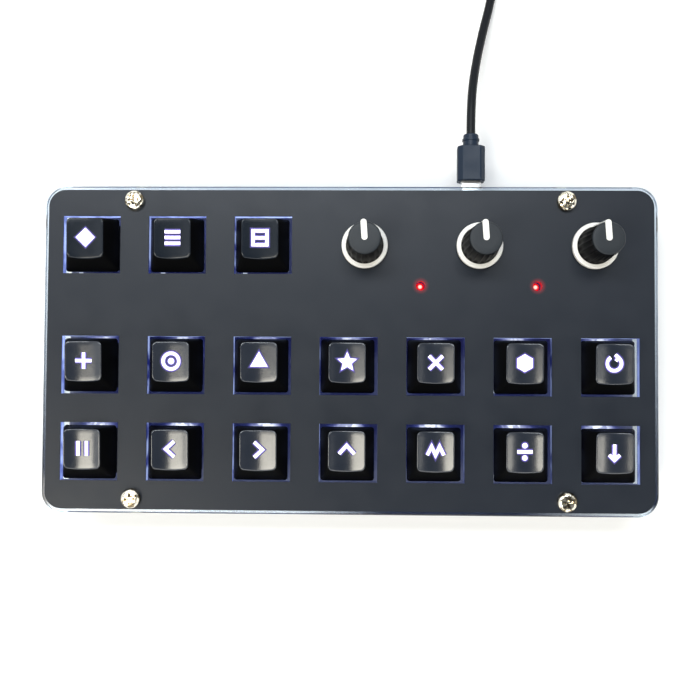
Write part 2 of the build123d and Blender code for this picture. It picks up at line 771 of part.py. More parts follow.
def coil_point(turn):
    """The middle of the cord after so many turns."""
    inward = min(turn, coil_turns_in)
    outward = max(0.0, turn - coil_turns_in - coil_turn_over)
    climb = min(max((turn - coil_turns_in) / coil_turn_over, 0.0), 1.0)
    tuck = coil_inner_tuck * math.sin(math.pi * climb)
    radius = coil_outer_radius - coil_pitch * (inward - outward) - tuck
    height = coil_pitch * (1 - math.cos(math.pi * climb)) / 2
    angle = 2 * math.pi * turn
    return coil_centre + Vector(radius * math.cos(angle), radius * math.sin(angle), height)


def coil_heading(turn):
    """The cord's direction after so many turns, level and square at both ends."""
    if turn <= 0:
        return Vector(0, 1, 0)
    if turn >= coil_end_turn:
        return Vector(-1, 0, 0)
    return (coil_point(turn + coil_look) - coil_point(turn - coil_look)).normalized()


def biarc(start, heading, end, end_heading):
    """Two arcs that leave start along heading and reach end along end_heading."""
    chord = end - start
    both = heading + end_heading
    square = 2 * (1 - heading.dot(end_heading))
    middle = chord.dot(both)
    if square < 1e-9:
        reach = chord.length**2 / (2 * middle)
    else:
        reach = (math.sqrt(middle**2 + square * chord.length**2) - middle) / square
    joint = (start + heading * reach + end - end_heading * reach) * 0.5
    TangentArc(start, joint, tangent=heading)
    TangentArc(end, joint, tangent=end_heading * -1)


coil_quarters = round(4 * coil_end_turn)
tail_start = coil_point(coil_end_turn)
tail_end = Vector(tail_start.X - coil_tail_length, tail_start.Y, host_thickness / 2)
tail_stop = tail_end - Vector(cable_diameter, 0, 0)
with BuildPart() as cable_coil:
    with BuildLine() as coil_line:
        Line(lead_points[-1], coil_start)
        for quarter in range(coil_quarters):
            turn_from = quarter / 4
            turn_to = (quarter + 1) / 4
            biarc(coil_point(turn_from), coil_heading(turn_from), coil_point(turn_to), coil_heading(turn_to))
        biarc(tail_start, Vector(-1, 0, 0), tail_end, Vector(-1, 0, 0))
        Line(tail_end, tail_stop)
    with BuildSketch(Plane(lead_points[-1], z_dir=(0, 1, 0))):
        Circle(cable_diameter / 2)
    coil_path = coil_line.wire()
    sweep(path=coil_path)
tube_report("cable_coil", cable_coil, coil_path.length)
write(cable_coil, "cable_coil")
coil_samples = [coil_path @ (step / coil_steps) for step in range(coil_steps + 1)]
sample_step = coil_path.length / coil_steps
skip = round(3 * cable_diameter / sample_step)
least = min(
    (coil_samples[a] - coil_samples[b]).length
    for a in range(len(coil_samples))
    for b in range(a + skip, len(coil_samples))
)
print(f"coil: {coil_end_turn} turns, least gap to itself {least - cable_diameter:.2f} mm")
print(f"lead in all: {lead_path.length + coil_path.length:.0f} mm")

# Host plug: a rounded grip with a collar and a contact tongue, and the metal shell around it
host_plane = Plane(tail_stop, x_dir=(0, 1, 0), z_dir=(-1, 0, 0))
host_grip_plane = host_plane.offset(host_collar_length)
host_face_plane = host_grip_plane.offset(host_length)
host_inner_width = host_shell_width - 2 * host_shell_wall
host_inner_thickness = host_shell_thickness - 2 * host_shell_wall
with BuildPart() as host_shell:
    with BuildSketch(host_face_plane.offset(-host_shell_root)):
        Rectangle(host_shell_width, host_shell_thickness)
        Rectangle(host_inner_width, host_inner_thickness, mode=Mode.SUBTRACT)
    extrude(amount=host_shell_root + host_shell_length)
with BuildPart() as host_grip:
    with BuildSketch(host_grip_plane):
        RectangleRounded(host_width, host_thickness, host_round)
    extrude(amount=host_length)
    fillet(host_grip.faces().sort_by(Axis.X)[-1].edges(), radius=host_round / 2)
    with BuildSketch(host_plane):
        Circle(cable_diameter / 2 + plug_round)
    with BuildSketch(host_grip_plane):
        Circle(host_collar_diameter / 2)
    loft()
    with BuildSketch(host_face_plane.offset(-host_shell_root)):
        Rectangle(host_shell_width, host_shell_thickness)
    extrude(amount=host_shell_root, mode=Mode.SUBTRACT)
    with BuildSketch(host_face_plane.offset(-host_shell_root)):
        with Locations((0, host_tongue_gap - host_inner_thickness / 2)):
            Rectangle(
                host_inner_width - 2 * host_tongue_gap,
                host_tongue_thickness,
                align=(Align.CENTER, Align.MIN),
            )
    extrude(amount=host_shell_root + host_shell_length - host_tongue_setback)
host_solids = Compound(label="usb_a_plug", children=[host_grip.part, host_shell.part])
export_step(host_solids, "parts/usb_a_plug.step")
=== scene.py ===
# %% [markdown]
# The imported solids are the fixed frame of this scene. Every visible piece is either one of those
# solids with a finish, or a finer mesh that stands for them and rides on the same moving body.
# Sizes are written in millimetres, as on a drawing, and MM turns them into Blender's metres.

# %% Load the frame
import functools
import math
import bmesh
import bpy
from mathutils import Matrix, Vector


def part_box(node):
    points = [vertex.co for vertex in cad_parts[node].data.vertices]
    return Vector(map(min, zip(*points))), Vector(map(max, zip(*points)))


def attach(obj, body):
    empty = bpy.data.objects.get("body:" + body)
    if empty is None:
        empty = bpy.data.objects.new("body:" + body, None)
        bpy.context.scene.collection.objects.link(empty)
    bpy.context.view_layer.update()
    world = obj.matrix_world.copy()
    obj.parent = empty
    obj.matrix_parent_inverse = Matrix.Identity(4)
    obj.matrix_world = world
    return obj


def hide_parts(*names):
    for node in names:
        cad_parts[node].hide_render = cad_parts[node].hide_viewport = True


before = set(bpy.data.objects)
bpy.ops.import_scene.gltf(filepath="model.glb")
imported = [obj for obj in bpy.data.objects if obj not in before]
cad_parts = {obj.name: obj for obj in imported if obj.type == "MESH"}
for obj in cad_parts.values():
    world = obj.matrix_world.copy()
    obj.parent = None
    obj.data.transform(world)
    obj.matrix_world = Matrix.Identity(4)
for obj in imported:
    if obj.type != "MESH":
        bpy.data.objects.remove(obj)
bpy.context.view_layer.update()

MM = 0.001
scene = bpy.context.scene
scene.view_settings.view_transform = "Standard"

# %% [markdown]
# The photograph looks almost straight down from about 29 cm above the panel. The place, the
# direction and the lens come from a fit of the panel's edges, the key cut-outs, the screws and
# the knobs in the picture, so the camera's axes are written as vectors and not as angles.

# %% Camera
camera_data = bpy.data.cameras.new("photo_camera")
camera_data.sensor_width = 36.0
camera_data.lens = 44.14
camera_data.clip_start = 0.01
camera = bpy.data.objects.new("photo_camera", camera_data)
eye = Vector((6.37, -8.6, 312.7)) * MM
back = Vector((0.0207, -0.0298, 0.9993)).normalized()
right = Vector((-0.0055, 0.9995, 0.0299)).cross(back).normalized()
turned = Matrix((right, back.cross(right), back)).transposed().to_4x4()
camera.matrix_world = Matrix.Translation(eye) @ turned
scene.collection.objects.link(camera)
scene.camera = camera
print("camera", [round(v, 4) for v in camera.location], "lens", camera_data.lens)

# %% [markdown]
# The lead is a round black cable. It could be a swept mesh, but one NURBS spline with a round bevel
# bends smoothly by itself: its points are the corners of the route. The part that the picture cuts
# off is a tied coil behind the keypad, spiralling in on the desk and out again on a second layer. A
# spline of order 3 touches the middle of each side of its corner polygon, so the coil's corners lie
# a little outside the turn's own radius.

# %% Lead and coil
lead_radius = 1.55
lead_start = Vector((42.0, 75.8, 14.0))
lead_steps = (
    (0.0, 11.5, 0.0),
    (1.9, 25.0, -4.2),
    (5.0, 39.0, -9.0),
    (8.8, 53.5, -11.65),
    (11.0, 68.5, -12.05),
    (11.0, 83.5, -12.05),
)
coil_radius = 25.2
coil_pitch = 3.7
coil_tuck = 1.0
turns_in = 4.0
turn_over = 0.5
turns_out = 3.75
points_per_turn = 24
tail_length = 24.0
route = [lead_start] + [lead_start + Vector(step) for step in lead_steps]
coil_centre = route[-1] + Vector((-coil_radius, 2 * lead_radius, 0))


def coil_corner(turn):
    """The corner of the coil's polygon after so many turns."""
    inward = min(turn, turns_in)
    outward = max(0.0, turn - turns_in - turn_over)
    climb = min(max((turn - turns_in) / turn_over, 0.0), 1.0)
    radius = coil_radius - coil_pitch * (inward - outward) - coil_tuck * math.sin(math.pi * climb)
    radius /= math.cos(math.pi / points_per_turn)
    height = coil_pitch * (1 - math.cos(math.pi * climb)) / 2
    angle = 2 * math.pi * turn
    return coil_centre + Vector((radius * math.cos(angle), radius * math.sin(angle), height))


coil_turns = turns_in + turn_over + turns_out
for step in range(round(coil_turns * points_per_turn)):
    route.append(coil_corner((step + 0.5) / points_per_turn))
tail_y = coil_centre.y + coil_radius - coil_pitch * (turns_in - turns_out)
host_half_height = 4.2
host_start = Vector((coil_centre.x - tail_length - 2 * lead_radius, tail_y, host_half_height))
route += [
    Vector((coil_centre.x - tail_length / 4, tail_y, coil_centre.z + coil_pitch)),
    Vector((coil_centre.x - tail_length * 3 / 4, tail_y, host_half_height)),
    host_start,
]
lead_curve = bpy.data.curves.new("lead", "CURVE")
lead_curve.dimensions = "3D"
lead_curve.bevel_depth = lead_radius * MM
lead_curve.bevel_resolution = 4
lead_curve.resolution_u = 4
lead_curve.use_fill_caps = True
spline = lead_curve.splines.new("NURBS")
spline.points.add(len(route) - 1)
for point, corner in zip(spline.points, route):
    point.co = (*(corner * MM), 1.0)
spline.order_u = 3
spline.use_endpoint_u = True
lead = bpy.data.objects.new("lead", lead_curve)
scene.collection.objects.link(lead)
print("lead", len(route), "points, coil", coil_turns, "turns")

# %% [markdown]
# Four helpers serve the whole scene. Two draw outlines, a rectangle with round corners and a circle.
# One joins rings of points into a closed skin, which is how lathed and lofted pieces are made here,
# and one turns such a list of points and faces into an object with its place in its mesh.

# %% Mesh helpers
quadrants = ((1, 1), (-1, 1), (-1, -1), (1, -1))


def rounded_rectangle(half_x, half_y, corner, per_corner=6, per_side=6):
    """Points of a rectangle with round corners, anticlockwise."""
    arcs = []
    for quarter, (side_x, side_y) in enumerate(quadrants):
        centre = Vector((side_x * (half_x - corner), side_y * (half_y - corner)))
        angles = [math.pi / 2 * (quarter + step / (per_corner - 1)) for step in range(per_corner)]
        arcs.append([centre + corner * Vector((math.cos(a), math.sin(a))) for a in angles])
    outline = []
    for this, following in zip(arcs, arcs[1:] + arcs[:1]):
        outline += this
        outline += [this[-1].lerp(following[0], step / per_side) for step in range(1, per_side)]
    return outline


def circle(radius, count=28):
    """Points of a circle, anticlockwise."""
    angles = [2 * math.pi * step / count for step in range(count)]
    return [Vector((radius * math.cos(a), radius * math.sin(a))) for a in angles]


def skin_faces(ring_count, size):
    """Faces that join rings of points one after the other and close both ends."""
    faces = [tuple(reversed(range(size)))]
    for ring in range(ring_count - 1):
        low = ring * size
        high = low + size
        for this in range(size):
            following = (this + 1) % size
            faces.append((low + this, low + following, high + following, high + this))
    faces.append(tuple(range((ring_count - 1) * size, ring_count * size)))
    return faces


def placed(name, vertices, faces, smooth_angle=35):
    """An object from points in millimetres, smooth where its faces meet at small angles."""
    mesh = bpy.data.meshes.new(name)
    mesh.from_pydata([tuple(Vector(v) * MM) for v in vertices], [], faces)
    mesh.update()
    mesh.shade_smooth()
    mesh.set_sharp_from_angle(angle=math.radians(smooth_angle))
    piece = bpy.data.objects.new(name, mesh)
    scene.collection.objects.link(piece)
    return piece


print("helpers ready, outline of", len(rounded_rectangle(1, 1, 0.2)), "points")

# %% [markdown]
# Geometry Nodes make what repeats or follows a line. A tree is a small machine with named inputs for
# its sizes. Three helpers serve every tree here: one opens it with its inputs, one ends it in Realize
# Instances and Set Material, and one runs it on a mesh and keeps the result as a plain mesh, because
# the export drops instances and the modifiers of nodes.

# %% Helpers for Geometry Nodes
def node_tree(name, inputs):
    """A Geometry Nodes tree with named inputs, its input node and the inputs' identifiers."""
    tree = bpy.data.node_groups.new(name, "GeometryNodeTree")
    sockets = tree.interface
    sockets.new_socket(name="Geometry", in_out="INPUT", socket_type="NodeSocketGeometry")
    identifiers = {}
    for label, kind in inputs:
        socket = sockets.new_socket(name=label, in_out="INPUT", socket_type="NodeSocket" + kind)
        identifiers[label] = socket.identifier
    sockets.new_socket(name="Geometry", in_out="OUTPUT", socket_type="NodeSocketGeometry")
    return tree, tree.nodes.new("NodeGroupInput"), identifiers


def close_tree(tree, geometry, source):
    """End a tree in Realize Instances and Set Material."""
    real = tree.nodes.new("GeometryNodeRealizeInstances")
    paint = tree.nodes.new("GeometryNodeSetMaterial")
    end = tree.nodes.new("NodeGroupOutput")
    tree.links.new(geometry, real.inputs["Geometry"])
    tree.links.new(real.outputs["Geometry"], paint.inputs["Geometry"])
    tree.links.new(source.outputs["Material"], paint.inputs["Material"])
    tree.links.new(paint.outputs["Geometry"], end.inputs["Geometry"])


def baked(name, source_mesh, tree, identifiers, values):
    """Run a tree on a mesh and keep the result as a plain object."""
    maker = bpy.data.objects.new(name + "_maker", source_mesh)
    scene.collection.objects.link(maker)
    modifier = maker.modifiers.new("maker", "NODES")
    modifier.node_group = tree
    for label, value in values.items():
        modifier[identifiers[label]] = value
    depsgraph = bpy.context.evaluated_depsgraph_get()
    mesh = bpy.data.meshes.new_from_object(maker.evaluated_get(depsgraph))
    maker.modifiers.clear()
    bpy.data.objects.remove(maker)
    mesh.name = name
    piece = bpy.data.objects.new(name, mesh)
    scene.collection.objects.link(piece)
    return piece


print("helpers for trees ready")

# %% [markdown]
# A strap keeps the coil together. It follows the outline of the bundle, so a tree fits it well: it
# sweeps a flat profile along a closed loop, with the strap's width and thickness as named inputs.

# %% Strap around the coil
strap_tree, strap_source, strap_inputs = node_tree(
    "strap", [("Width", "Float"), ("Thickness", "Float"), ("Material", "Material")]
)
strap_line = strap_tree.nodes.new("GeometryNodeMeshToCurve")
strap_profile = strap_tree.nodes.new("GeometryNodeCurvePrimitiveQuadrilateral")
strap_sweep = strap_tree.nodes.new("GeometryNodeCurveToMesh")
strap_links = strap_tree.links
strap_links.new(strap_source.outputs["Geometry"], strap_line.inputs["Mesh"])
strap_links.new(strap_line.outputs["Curve"], strap_sweep.inputs["Curve"])
strap_links.new(strap_source.outputs["Width"], strap_profile.inputs["Width"])
strap_links.new(strap_source.outputs["Thickness"], strap_profile.inputs["Height"])
strap_links.new(strap_profile.outputs["Curve"], strap_sweep.inputs["Profile Curve"])
close_tree(strap_tree, strap_sweep.outputs["Mesh"], strap_source)

strap_width = 7.0
strap_thickness = 0.25
strap_clearance = 0.05
strap_corner = 1.6
strap_bearing = math.radians(205)
bundle_inside = coil_radius - coil_pitch * turns_in - coil_tuck - lead_radius
bundle_outside = coil_radius + lead_radius
strap_offset = strap_clearance + strap_thickness / 2
loop_half_width = (bundle_outside - bundle_inside) / 2 + strap_offset
loop_half_height = coil_pitch / 2 + lead_radius + strap_offset
spoke = Vector((math.cos(strap_bearing), math.sin(strap_bearing), 0))
loop_centre = coil_centre + spoke * (bundle_inside + bundle_outside) / 2
loop_centre.z += coil_pitch / 2
loop_points = [
    loop_centre + spoke * across + Vector((0, 0, rise))
    for across, rise in rounded_rectangle(loop_half_width, loop_half_height, strap_corner)
]
loop_size = len(loop_points)
loop_mesh = bpy.data.meshes.new("strap_line")
loop_edges = [(this, (this + 1) % loop_size) for this in range(loop_size)]
loop_mesh.from_pydata([tuple(p * MM) for p in loop_points], loop_edges, [])
strap_nylon = bpy.data.materials.new("strap_nylon")
strap_values = {"Width": strap_width * MM, "Thickness": strap_thickness * MM, "Material": strap_nylon}
strap = baked("coil_strap", loop_mesh, strap_tree, strap_inputs, strap_values)
strap_low = min(v.co.z for v in strap.data.vertices) / MM
print("strap", len(strap.data.polygons), "faces, lowest", round(strap_low, 3))

# %% [markdown]
# Shaders and the world are graphs of small nodes. A few helpers keep them short: one fills or links
# a socket, and the others add one Math node, a smooth step, a blend of two colours, the shaded
# point's coordinates, and the test for rays that the eye follows straight from the camera or by
# way of a mirror or glass.

# %% Node helpers
def feed(tree, socket, value):
    """Set a socket to a number or a colour, or link it to another socket."""
    if isinstance(value, bpy.types.NodeSocket):
        tree.links.new(value, socket)
    elif isinstance(value, tuple):
        socket.default_value = (*value, 1)
    else:
        socket.default_value = value


def chain(tree, operation, *values):
    """One Math node."""
    node = tree.nodes.new("ShaderNodeMath")
    node.operation = operation
    for socket, value in zip(node.inputs, values):
        feed(tree, socket, value)
    return node.outputs[0]


def ramp(tree, value, start, end, low, high):
    """A smooth step from low to high while the value goes from start to end."""
    node = tree.nodes.new("ShaderNodeMapRange")
    node.interpolation_type = "SMOOTHSTEP"
    labels = ("Value", "From Min", "From Max", "To Min", "To Max")
    for label, number in zip(labels, (value, start, end, low, high)):
        feed(tree, node.inputs[label], number)
    return node.outputs["Result"]


def mixed(tree, factor, first, second):
    """A colour between two others."""
    node = tree.nodes.new("ShaderNodeMix")
    node.data_type = "RGBA"
    for label, value in (("Factor", factor), ("A", first), ("B", second)):
        feed(tree, node.inputs[label], value)
    return node.outputs["Result"]


def position(tree, coordinates="Object"):
    """The coordinates of the shaded point, apart as X, Y and Z."""
    place = tree.nodes.new("ShaderNodeTexCoord")
    apart = tree.nodes.new("ShaderNodeSeparateXYZ")
    tree.links.new(place.outputs[coordinates], apart.inputs[0])
    return place.outputs[coordinates], apart.outputs


def seen(tree):
    """One for rays from the camera, from a mirror or through glass."""
    ray = tree.nodes.new("ShaderNodeLightPath").outputs
    glass_or_mirror = chain(tree, "MAXIMUM", ray["Is Transmission Ray"], ray["Is Glossy Ray"])
    return chain(tree, "MAXIMUM", ray["Is Camera Ray"], glass_or_mirror)


print("node helpers ready")

# %% [markdown]
# The floor is a pale sheet. It reads as white in the picture because its material adds a little
# light of its own for the rays that the eye follows, so it still keeps the keypad's shadow.

# %% Floor
floor_reach = 1.6
floor_lift = 0.21
floor_corners = [(x * floor_reach, y * floor_reach, 0) for x, y in quadrants]
floor_mesh = bpy.data.meshes.new("floor")
floor_mesh.from_pydata(floor_corners, [], [(0, 1, 2, 3)])
floor = bpy.data.objects.new("floor", floor_mesh)
scene.collection.objects.link(floor)
floor_paper = bpy.data.materials.new("floor_paper")
floor_paper.use_nodes = True
paper = floor_paper.node_tree.nodes["Principled BSDF"]
paper.inputs["Base Color"].default_value = (0.88, 0.885, 0.89, 1)
paper.inputs["Roughness"].default_value = 0.9
paper.inputs["Specular IOR Level"].default_value = 0.0
paper.inputs["Emission Color"].default_value = (1, 1, 1, 1)
lift = chain(floor_paper.node_tree, "MULTIPLY", seen(floor_paper.node_tree), floor_lift)
feed(floor_paper.node_tree, paper.inputs["Emission Strength"], lift)
floor_mesh.materials.append(floor_paper)
print("floor", 2 * floor_reach, "m square")

# %% [markdown]
# The light is soft and comes from all sides. A large warm window to the front and left draws the
# broad bands in the scooped key tops, a narrow one far to the right lights their other flanks, a low
# one in front edges their rims, and a cool lamp at the back gives the film its slow fade. The world
# is a pale dome, white where the eye sees it, and dim straight overhead, where the camera itself
# stands in the light, so flat dark surfaces stay dark from above.

# %% Lamps and world
def soft_lamp(name, place, width, length, power, colour):
    """A rectangular lamp that looks at the keypad, its width along X and its length along Y."""
    data = bpy.data.lights.new(name, "AREA")
    data.shape = "RECTANGLE"
    data.size = width
    data.size_y = length
    data.energy = power
    data.color = colour
    lamp = bpy.data.objects.new(name, data)
    away = Vector(place).normalized()
    across = Vector((0, 1, 0)).cross(away).normalized()
    aim = Matrix((across, away.cross(across), away)).transposed().to_4x4()
    lamp.matrix_world = Matrix.Translation(place) @ aim
    scene.collection.objects.link(lamp)


cool_white = (0.92, 0.97, 1.0)
warm_white = (1.0, 0.95, 0.82)
soft_lamp("window", place=(-0.755, -0.52, 1.4), width=0.89, length=0.61, power=15.2, colour=warm_white)
soft_lamp("side_window", place=(1.35, -0.5, 1.4), width=0.3, length=0.45, power=3.0, colour=warm_white)
soft_lamp("front_lamp", place=(0.1, -1.7, 1.1), width=1.8, length=0.3, power=8.0, colour=warm_white)
soft_lamp("back_lamp", place=(-0.2, 0.54, 1.4), width=1.2, length=0.27, power=15.5, colour=cool_white)

dome_strength = 0.35
overhead_strength = 0.2
overhead_start = 0.7
overhead_end = 0.92
dome = bpy.data.worlds.new("dome")
dome.use_nodes = True
sky = dome.node_tree
sky.nodes["Background"].inputs["Color"].default_value = (0.93, 0.97, 1.0, 1)
horizon = chain(sky, "MULTIPLY_ADD", seen(sky), 1 - dome_strength, dome_strength)
upward = position(sky, "Generated")[1]["Z"]
sky_level = ramp(sky, upward, overhead_start, overhead_end, horizon, overhead_strength)
feed(sky, sky.nodes["Background"].inputs["Strength"], sky_level)
scene.world = dome

# %% [markdown]
# Real plastics are never one flat colour. Two small shader groups are shared by the finishes:
# moulded_grain gives a fine height for a Bump node and a slow mottle, and handled gives a
# roughness that changes where hands have polished the surface.

# %% Shared shader groups
rubbed_range = (0.3, 0.7)


def shader_group(name, inputs, outputs):
    """A shader group with number inputs and number outputs, and its two end nodes."""
    group = bpy.data.node_groups.new(name, "ShaderNodeTree")
    for label, value in inputs:
        socket = group.interface.new_socket(name=label, in_out="INPUT", socket_type="NodeSocketFloat")
        socket.default_value = value
    for label in outputs:
        group.interface.new_socket(name=label, in_out="OUTPUT", socket_type="NodeSocketFloat")
    return group, group.nodes.new("NodeGroupInput").outputs, group.nodes.new("NodeGroupOutput").inputs


def noise(tree, place, scale, detail):
    """A noise texture's value."""
    node = tree.nodes.new("ShaderNodeTexNoise")
    node.inputs["Detail"].default_value = detail
    feed(tree, node.inputs["Vector"], place)
    feed(tree, node.inputs["Scale"], scale)
    return node.outputs["Fac"]


moulded_grain, grain_in, grain_out = shader_group(
    "moulded_grain", [("Grain Scale", 3000.0), ("Mottle Scale", 60.0)], ["Height", "Mottle"]
)
grain_place = position(moulded_grain)[0]
fine = noise(moulded_grain, grain_place, grain_in["Grain Scale"], detail=3.0)
slow = noise(moulded_grain, grain_place, grain_in["Mottle Scale"], detail=4.0)
feed(moulded_grain, grain_out["Height"], fine)
feed(moulded_grain, grain_out["Mottle"], slow)

handled, handled_in, handled_out = shader_group(
    "handled", [("Scale", 120.0), ("Smooth", 0.3), ("Dull", 0.45)], ["Roughness"]
)
patches = noise(handled, position(handled)[0], handled_in["Scale"], detail=5.0)
rubbed_level = ramp(handled, patches, *rubbed_range, handled_in["Smooth"], handled_in["Dull"])
feed(handled, handled_out["Roughness"], rubbed_level)
print("shader groups", moulded_grain.name, handled.name)

# %% [markdown]
# One helper builds most finishes: the mottle blends two close colours, the grain drives a Bump
# node and the handled group sets the roughness. Another one gives a piece its material, its moving
# body and the solids that it stands for. The lead and its strap are dressed here first.

# %% Finish helpers
grain_depth = 0.2


def use_group(tree, group, **values):
    """A group node with its inputs set."""
    node = tree.nodes.new("ShaderNodeGroup")
    node.node_tree = group
    for label, value in values.items():
        node.inputs[label.replace("_", " ")].default_value = value
    return node.outputs


def finish(name, dark, light, smooth, dull, grain=3000.0, bump=0.05, mottle=60.0, **plain):
    """A moulded or plated finish; plain values go straight to the shader's sockets."""
    material = bpy.data.materials.get(name) or bpy.data.materials.new(name)
    material.use_nodes = True
    tree = material.node_tree
    shader = tree.nodes["Principled BSDF"].inputs
    texture = use_group(tree, moulded_grain, Grain_Scale=grain, Mottle_Scale=mottle)
    relief = tree.nodes.new("ShaderNodeBump")
    relief.inputs["Strength"].default_value = bump
    relief.inputs["Distance"].default_value = grain_depth * MM
    feed(tree, relief.inputs["Height"], texture["Height"])
    feed(tree, shader["Normal"], relief.outputs["Normal"])
    feed(tree, shader["Base Color"], mixed(tree, texture["Mottle"], dark, light))
    feed(tree, shader["Roughness"], use_group(tree, handled, Smooth=smooth, Dull=dull)["Roughness"])
    for label, value in plain.items():
        shader[label.replace("_", " ")].default_value = value
    return material


def dress(piece, materials, body=None, nodes=()):
    """Give a piece its material or materials, its body and the solids it replaces."""
    piece.data.materials.clear()
    for material in materials if isinstance(materials, tuple) else (materials,):
        piece.data.materials.append(material)
    if body:
        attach(piece, body)
    if nodes:
        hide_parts(*nodes)
    return piece


jacket = finish(
    "lead_jacket", dark=(0.003, 0.004, 0.006), light=(0.006, 0.007, 0.01),
    smooth=0.34, dull=0.5, grain=1800.0, bump=0.08, Specular_IOR_Level=0.18,
)
dress(lead, jacket, "chassis", ("cable", "cable_coil"))
finish(
    "strap_nylon", dark=(0.02, 0.02, 0.022), light=(0.035, 0.035, 0.038),
    smooth=0.6, dull=0.8, grain=2200.0, bump=0.2,
)
dress(strap, strap_nylon, "chassis")
print("dressed", lead.name, strap.name)

# %% [markdown]
# The face is a clear acrylic panel under a matt black film. The film stops short of the edge, so a
# clear rim shows. Two red lamps stand behind small holes between the knobs. Several finishes change
# with the distance from the nearer red lamp, so that distance is a small function of the shaded point.

# %% Places on the panel
panel_low, panel_high = (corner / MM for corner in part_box("face_panel"))
film_low, film_high = (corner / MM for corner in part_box("face_film"))
film_corner = 6.0
knob_x = 43.45
knob_y = 34.9
knob_pitch = 38.3
indicator_reach = 19.5
indicator_y = 21.6
hole_radius = 1.5
red_reach = 3.0


def distance(tree, off_x, off_y):
    """The length of a flat vector."""
    squares = chain(tree, "MULTIPLY_ADD", off_x, off_x, chain(tree, "MULTIPLY", off_y, off_y))
    return chain(tree, "SQRT", squares)


def indicator_distance(tree, xyz):
    """Distance from the axis of the nearer of the two red lamps."""
    off_middle = chain(tree, "ABSOLUTE", chain(tree, "SUBTRACT", xyz["X"], knob_x * MM))
    off_x = chain(tree, "SUBTRACT", off_middle, indicator_reach * MM)
    return distance(tree, off_x, chain(tree, "SUBTRACT", xyz["Y"], indicator_y * MM))


print("film top", round(film_high.z, 2), "panel", round(panel_low.z, 2), "to", round(panel_high.z, 2))

# %% [markdown]
# The lamps under the keys shine into the acrylic, and the sawn walls of its openings get a painted
# glow, most at the back of each opening, where the key's lamp stands, and more on its left than on
# its right. A group finds those walls: upright faces inside the film's outline are the openings,
# all that lies outside it is the rim, and walls near the two red lamps get painted red light. Walls
# that face the front get a darker tint, painted shade. The rim is painted pale along the back and
# darker towards the front, where it is bright at the left and dark to the right of the middle:
# painted light and painted shade.

# %% Where light and shade are painted on the acrylic
upright_limit = 0.3
facing_middle = 0.5
facing_by_y = -0.47
facing_by_x = 0.2
patch_range = (0.34, 0.6)
core_range = (0.35, 1.0)
shade_x = 35.0
shade_core = 20.0
shade_reach = 65.0
side_shade_end = 44.0
edge_lit, edge_in, edge_out = shader_group(
    "edge_lit", [("Patch Scale", 190.0)], ["Wall", "Facing", "Bright", "Rim", "Level", "Painted Edge Glow", "Red"]
)
edge = functools.partial(chain, edge_lit)
edge_place, edge_xyz = position(edge_lit)
edge_faces = edge_lit.nodes.new("ShaderNodeNewGeometry")
edge_apart = edge_lit.nodes.new("ShaderNodeSeparateXYZ")
feed(edge_lit, edge_apart.inputs[0], edge_faces.outputs["True Normal"])
edge_normal = edge_apart.outputs
upright = edge("LESS_THAN", edge("ABSOLUTE", edge_normal["Z"]), upright_limit)
past_corner = []
for axis, half in (("X", film_high.x), ("Y", film_high.y)):
    off_corner = edge("SUBTRACT", edge("ABSOLUTE", edge_xyz[axis]), (half - film_corner) * MM)
    past_corner.append(edge("MAXIMUM", off_corner, 0.0))
inside = edge("LESS_THAN", distance(edge_lit, *past_corner), film_corner * MM)
outside = edge("SUBTRACT", 1.0, inside)
facing = edge("MULTIPLY_ADD", edge_normal["Y"], facing_by_y, facing_middle)
facing = edge("MULTIPLY_ADD", edge_normal["X"], facing_by_x, facing)
edge_patch = noise(edge_lit, edge_place, edge_in["Patch Scale"], detail=2.0)
patch_level = ramp(edge_lit, edge_patch, *patch_range, 0.0, 1.0)
panel_middle = (panel_low.z + panel_high.z) / 2
off_middle = edge("ABSOLUTE", edge("SUBTRACT", edge_xyz["Z"], panel_middle * MM))
from_middle = edge("DIVIDE", off_middle, (panel_high.z - panel_middle) * MM)
core = ramp(edge_lit, from_middle, *core_range, 1.0, 0.0)
side_level = ramp(edge_lit, edge_xyz["Y"], panel_low.y * MM, side_shade_end * MM, 0.0, 1.0)
from_shade = edge("ABSOLUTE", edge("SUBTRACT", edge_xyz["X"], shade_x * MM))
front_level = ramp(edge_lit, from_shade, shade_core * MM, shade_reach * MM, 0.0, 1.0)
front_end = film_low.y + film_corner / 2
front = ramp(edge_lit, edge_xyz["Y"], film_low.y * MM, front_end * MM, 1.0, 0.0)
level_step = edge("SUBTRACT", front_level, side_level)
# Masks for painted light and shade: glowing patches on the opening walls, a faint glow on the outer
# edges, red light near the red lamps, and the shade of the rim and of walls that face the front.
for label, value in (
    ("Wall", edge("MULTIPLY", inside, upright)),
    ("Facing", facing),
    ("Bright", edge("MULTIPLY", edge("MULTIPLY", patch_level, core), facing)),
    ("Rim", outside),
    ("Level", edge("MULTIPLY_ADD", front, level_step, side_level)),
    ("Painted Edge Glow", edge("MULTIPLY", outside, upright)),
    ("Red", edge("LESS_THAN", indicator_distance(edge_lit, edge_xyz), red_reach * MM)),
):
    feed(edge_lit, edge_out[label], value)
print("edge_lit", len(edge_lit.nodes), "nodes")

# %% [markdown]
# The acrylic itself is a clear shader with a little haze, and rough on the sawn walls. The rim is
# tinted, because one looks at it almost edge on, and its tint also carries the rim's painted shade.
# The walls' painted glow goes into Emission Color. Light also runs inside the plates to their outer
# edges, which a render with few bounces loses, so the edges get a faint painted light of their own.
# The film is nearly black with a blue cast and a fine tooth, and a faint painted red glow lies on it
# around the holes of the red lamps.

# %% Panel, film and base
no_light = (0.0, 0.0, 0.0)
clear_tint = (0.9, 0.95, 0.985)
